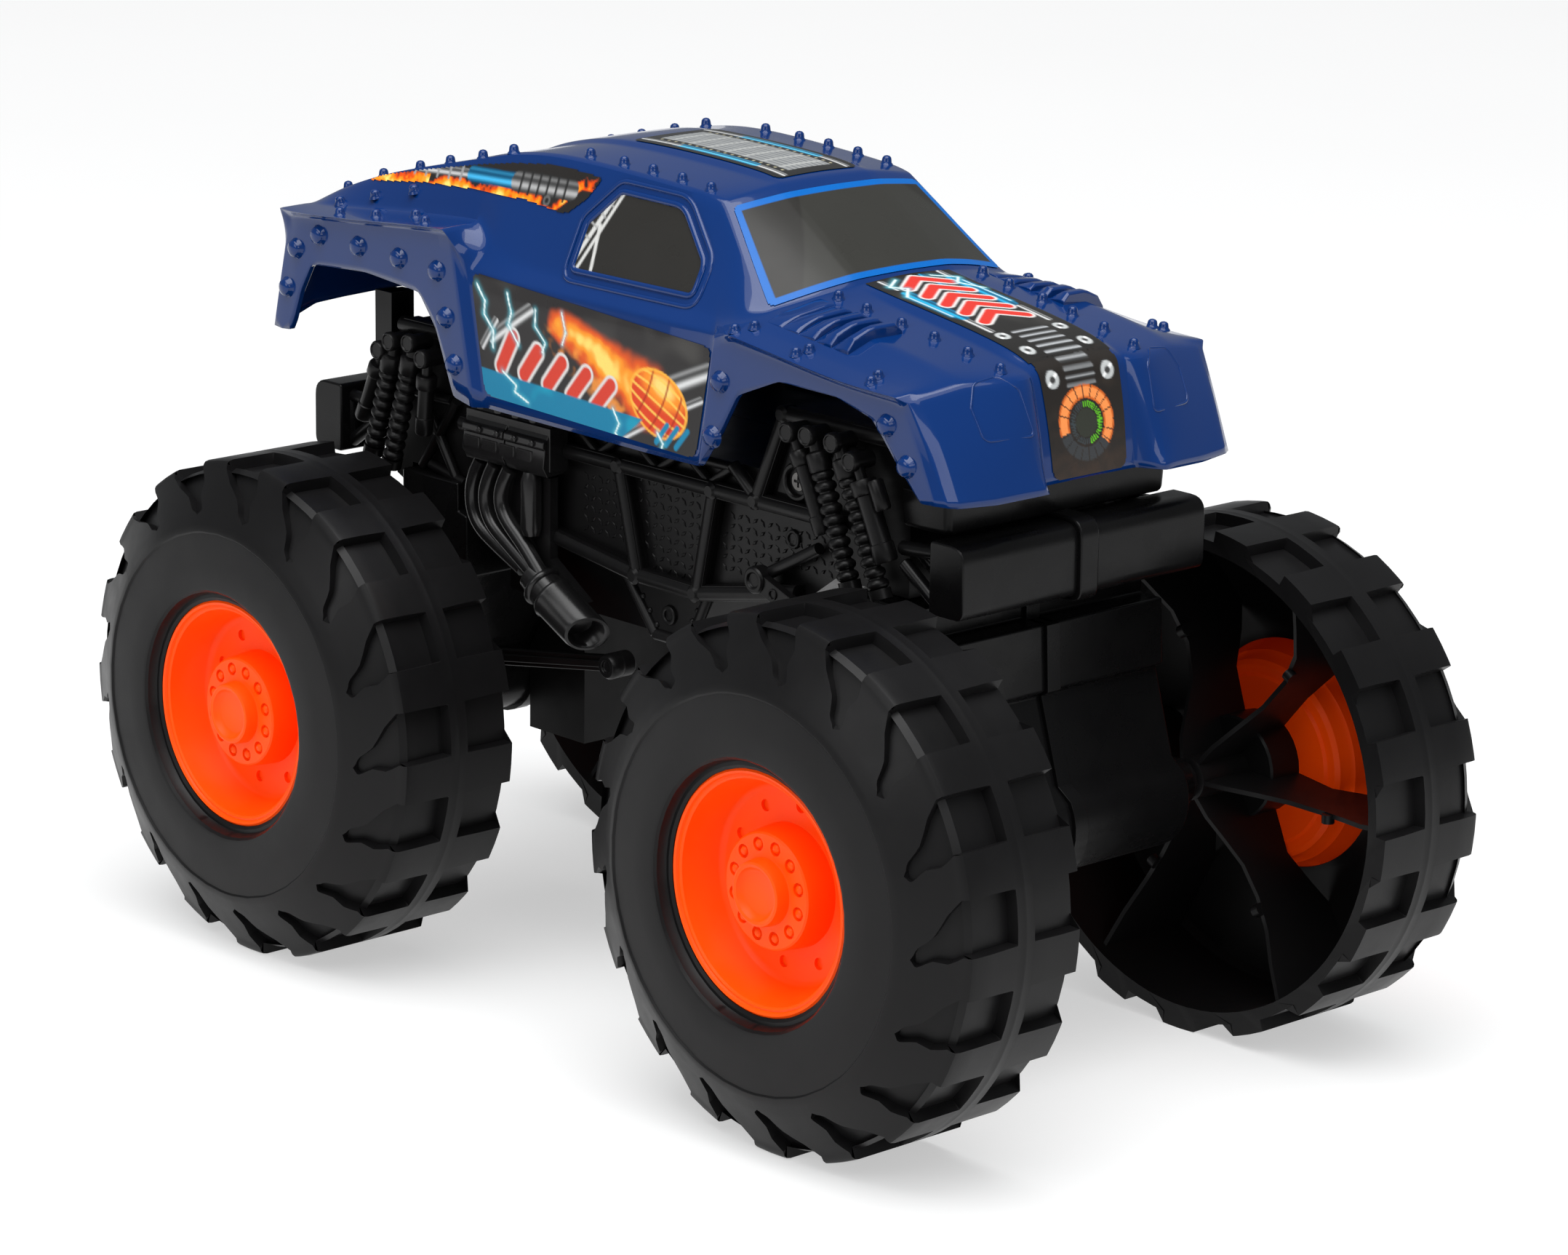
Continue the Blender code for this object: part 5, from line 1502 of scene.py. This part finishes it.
def make_housings():
    """Axle boxes in two halves, with a seam rib round the middle."""
    wall = 2.0
    for where, end in ENDS:
        turn = -end
        outline = [(end * AXLE_Y + turn * y, AXLE_Z + z) for y, z in housing_outline()]
        inner = [(end * AXLE_Y + turn * y, AXLE_Z + z) for y, z in shrunk(housing_outline(), wall)]
        for side, sign in SIDES:
            form = bmesh.new()
            rings = []
            for points, x in ((inner, AXLE_HOUSING_X - wall), (inner, 0.2),
                              (outline, 0.2), (outline, AXLE_HOUSING_X)):
                rings.append([form.verts.new((sign * x, y, z)) for y, z in points])
            form.faces.new(rings[0])
            form.faces.new(rings[-1][::-1])
            for low, high in zip(rings, rings[1:]):
                for i in range(len(outline)):
                    j = (i + 1) % len(outline)
                    form.faces.new((low[i], low[j], high[j], high[i]))
            boss = [(AXLE_HOUSING_X - 1, 0), (AXLE_HOUSING_X - 1, 9.4), (46.5, 8.6), (55.9, 7.5), (56.5, 7.0),
                    (56.5, 4.6), (52.0, 4.4), (52.0, 0)]
            turned(form, boss, 32, (0, end * AXLE_Y, AXLE_Z), (sign, 0, 0))
            half = piece("%s_axle_box_%s" % (where, side), form, "satin_black", "chassis", "black_plastic",
                         smooth=35, bevel=0.8)
            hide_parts("%s_housing_%s" % (where, side))
        form = bmesh.new()
        rib = [(end * AXLE_Y + turn * y, AXLE_Z + z) for y, z in housing_outline(1.3)]
        core = [(end * AXLE_Y + turn * y, AXLE_Z + z) for y, z in shrunk(housing_outline(), 0.3)]
        rings = [[form.verts.new((x, y, z)) for y, z in points]
                 for points, x in ((core, -2.6), (rib, -2.6), (rib, 2.6), (core, 2.6))]
        for low, high in zip(rings, rings[1:] + rings[:1]):
            for i in range(len(rib)):
                j = (i + 1) % len(rib)
                form.faces.new((low[i], low[j], high[j], high[i]))
        piece(where + "_axle_box_rib", form, "satin_black", "chassis", "black_plastic", smooth=35, bevel=0.7)


def make_side_screws():
    """Countersunk screws with a cross recess in the chassis sides."""
    for side, sign in SIDES:
        for where in ("front", "rear"):
            node = "chassis_screw_%s_%s" % (where, side)
            spot = centre_mm(node)
            form = bmesh.new()
            turned(form, [(27, 0), (27, 1.4), (38.6, 1.4), (40.0, 2.6), (41.0, 2.75), (41.2, 2.6), (41.2, 0)],
                   28,
                   (0, spot.y, spot.z), (sign, 0, 0))
            screw = piece("cross_screw_%s_%s" % (where, side), form, "dark_steel", None, None, smooth=35)
            for half_y, half_z in ((1.7, 0.4), (0.4, 1.7)):
                cut = bmesh.new()
                block(cut, (sign * 40.2, sign * 42.0), (spot.y - half_y, spot.y + half_y),
                      (spot.z - half_z, spot.z + half_z))
                carve(screw, cut)
            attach(screw, "chassis")
            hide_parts(node)


def make_chassis():
    mirrored_pair("plate_marks", draw_plate_marks, smooth=20)
    mirrored_pair("side_rails", draw_side_rails, smooth=40)
    mirrored_pair("side_bosses", draw_side_bosses, smooth=40, bevel=0.4)
    mirrored_pair("engine_block", draw_engine, "gloss_black", "engine", smooth=35, bevel=0.45)
    mirrored_pair("headers", draw_headers, "gloss_black", smooth=40)
    mirrored_pair("front_link_arm", draw_front_link, replaced="link_front", smooth=35, bevel=0.5)
    mirrored_pair("rear_link_arm", draw_rear_link, replaced="link_rear", smooth=35, bevel=0.5)
    make_struts()
    make_bumpers()
    make_nose()
    make_housings()
    make_side_screws()


# ================================================================ carried-over CAD nodes

SLOT_LOOK = {"body_paint": "blue", "black_plastic": "black",
             "tyre_rubber": "tyre", "orange_plastic": "orange",
             "steel": "steel", "nylon": "nylon", "circuit_board": "board"}


def dress_frame():
    """Give every CAD node that stays visible its material and shading."""
    slots = {part["node"]: part["material_slot"] for part in frame["record"]["subparts"]}
    for name, node in frame["nodes"].items():
        look = LOOK["cell" if name.startswith("cell_") else SLOT_LOOK[slots[name]]]
        node.data.materials.clear()
        node.data.materials.append(look)
        node.data.shade_smooth()
        node.data.set_sharp_from_angle(angle=math.radians(30))


# ================================================================ stage

FOCAL_PX, IMAGE_W = 7403.6, 2156.0
SENSOR = 36.0


def make_camera():
    """A long lens, in front of the truck's right front corner and a little above it."""
    azimuth, elevation, roll = (math.radians(a) for a in (-43.02, 14.79, 0.81))
    back = Vector((math.sin(azimuth) * math.cos(elevation),
                   -math.cos(azimuth) * math.cos(elevation), math.sin(elevation)))
    right = Vector((0, 0, 1)).cross(back).normalized()
    up = back.cross(right)
    right_rolled = right * math.cos(roll) + up * math.sin(roll)
    up_rolled = up * math.cos(roll) - right * math.sin(roll)
    data = bpy.data.cameras.new("camera")
    data.sensor_width = SENSOR
    data.lens = SENSOR * FOCAL_PX / IMAGE_W
    data.clip_start, data.clip_end = 0.05, 30.0
    camera = bpy.data.objects.new("camera", data)
    turn = Matrix((right_rolled, up_rolled, back)).transposed()
    camera.matrix_world = Matrix.Translation((-1.0329, -1.1173, 0.5086)) @ turn.to_4x4()
    bpy.context.scene.collection.objects.link(camera)
    bpy.context.scene.camera = camera


def make_floor():
    form = bmesh.new()
    half = 6000
    form.faces.new([form.verts.new(p) for p in ((-half, -half, 0), (half, -half, 0),
                                                (half, half, 0), (-half, half, 0))])
    look = Nodes("floor", (0.46, 0.46, 0.46), 0.6)
    look.set("Specular IOR Level", 0.1)
    look.set("Emission Color", (1.0, 1.0, 1.0, 1.0))
    look.set("Emission Strength", 0.5)
    look.to("Roughness", look.spread(look.noise(3.0), 0.5, 0.6))
    LOOK["floor"] = look.material
    floor = piece("floor", form, "floor", None, None)


def area_light(name, position, target, size, power, color=(1, 1, 1)):
    data = bpy.data.lights.new(name, "AREA")
    data.shape = "RECTANGLE"
    data.size, data.size_y = size
    data.energy = power
    data.color = color
    lamp = bpy.data.objects.new(name, data)
    position = Vector(position)
    lamp.matrix_world = (Matrix.Translation(position)
                         @ (position - Vector(target)).to_track_quat("Z", "Y").to_matrix().to_4x4())
    bpy.context.scene.collection.objects.link(lamp)


def make_lights():
    bpy.context.scene.view_settings.view_transform = "Standard"
    world = bpy.data.worlds.new("studio")
    world.use_nodes = True
    world.node_tree.nodes["Background"].inputs["Color"].default_value = (0.95, 0.98, 1.0, 1)
    world.node_tree.nodes["Background"].inputs["Strength"].default_value = 0.24
    bpy.context.scene.world = world
    middle = (0, 0, 0.12)
    area_light("overhead", (-0.3, -0.3, 1.7), middle, (1.6, 1.4), 22)
    area_light("left_side", (-1.9, 0.1, 1.0), middle, (1.2, 0.8), 7.5)
    area_light("front", (-0.5, -2.0, 1.1), middle, (1.0, 0.7), 5)
    sun = bpy.data.lights.new("broad", "SUN")
    sun.energy = 2.1
    sun.angle = math.radians(75)
    lamp = bpy.data.objects.new("broad", sun)
    lamp.matrix_world = Vector((-0.25, -0.2, 1)).to_track_quat("Z", "Y").to_matrix().to_4x4()
    bpy.context.scene.collection.objects.link(lamp)


# ================================================================ build

def build():
    dress_frame()
    surface = Surface(make_shell())
    make_rivets(surface)
    make_scoops(surface)
    make_headlight_lines(surface)
    make_window_frames(surface)
    make_films(surface)
    make_wheels()
    make_chassis()
    make_camera()
    make_floor()
    make_lights()


build()
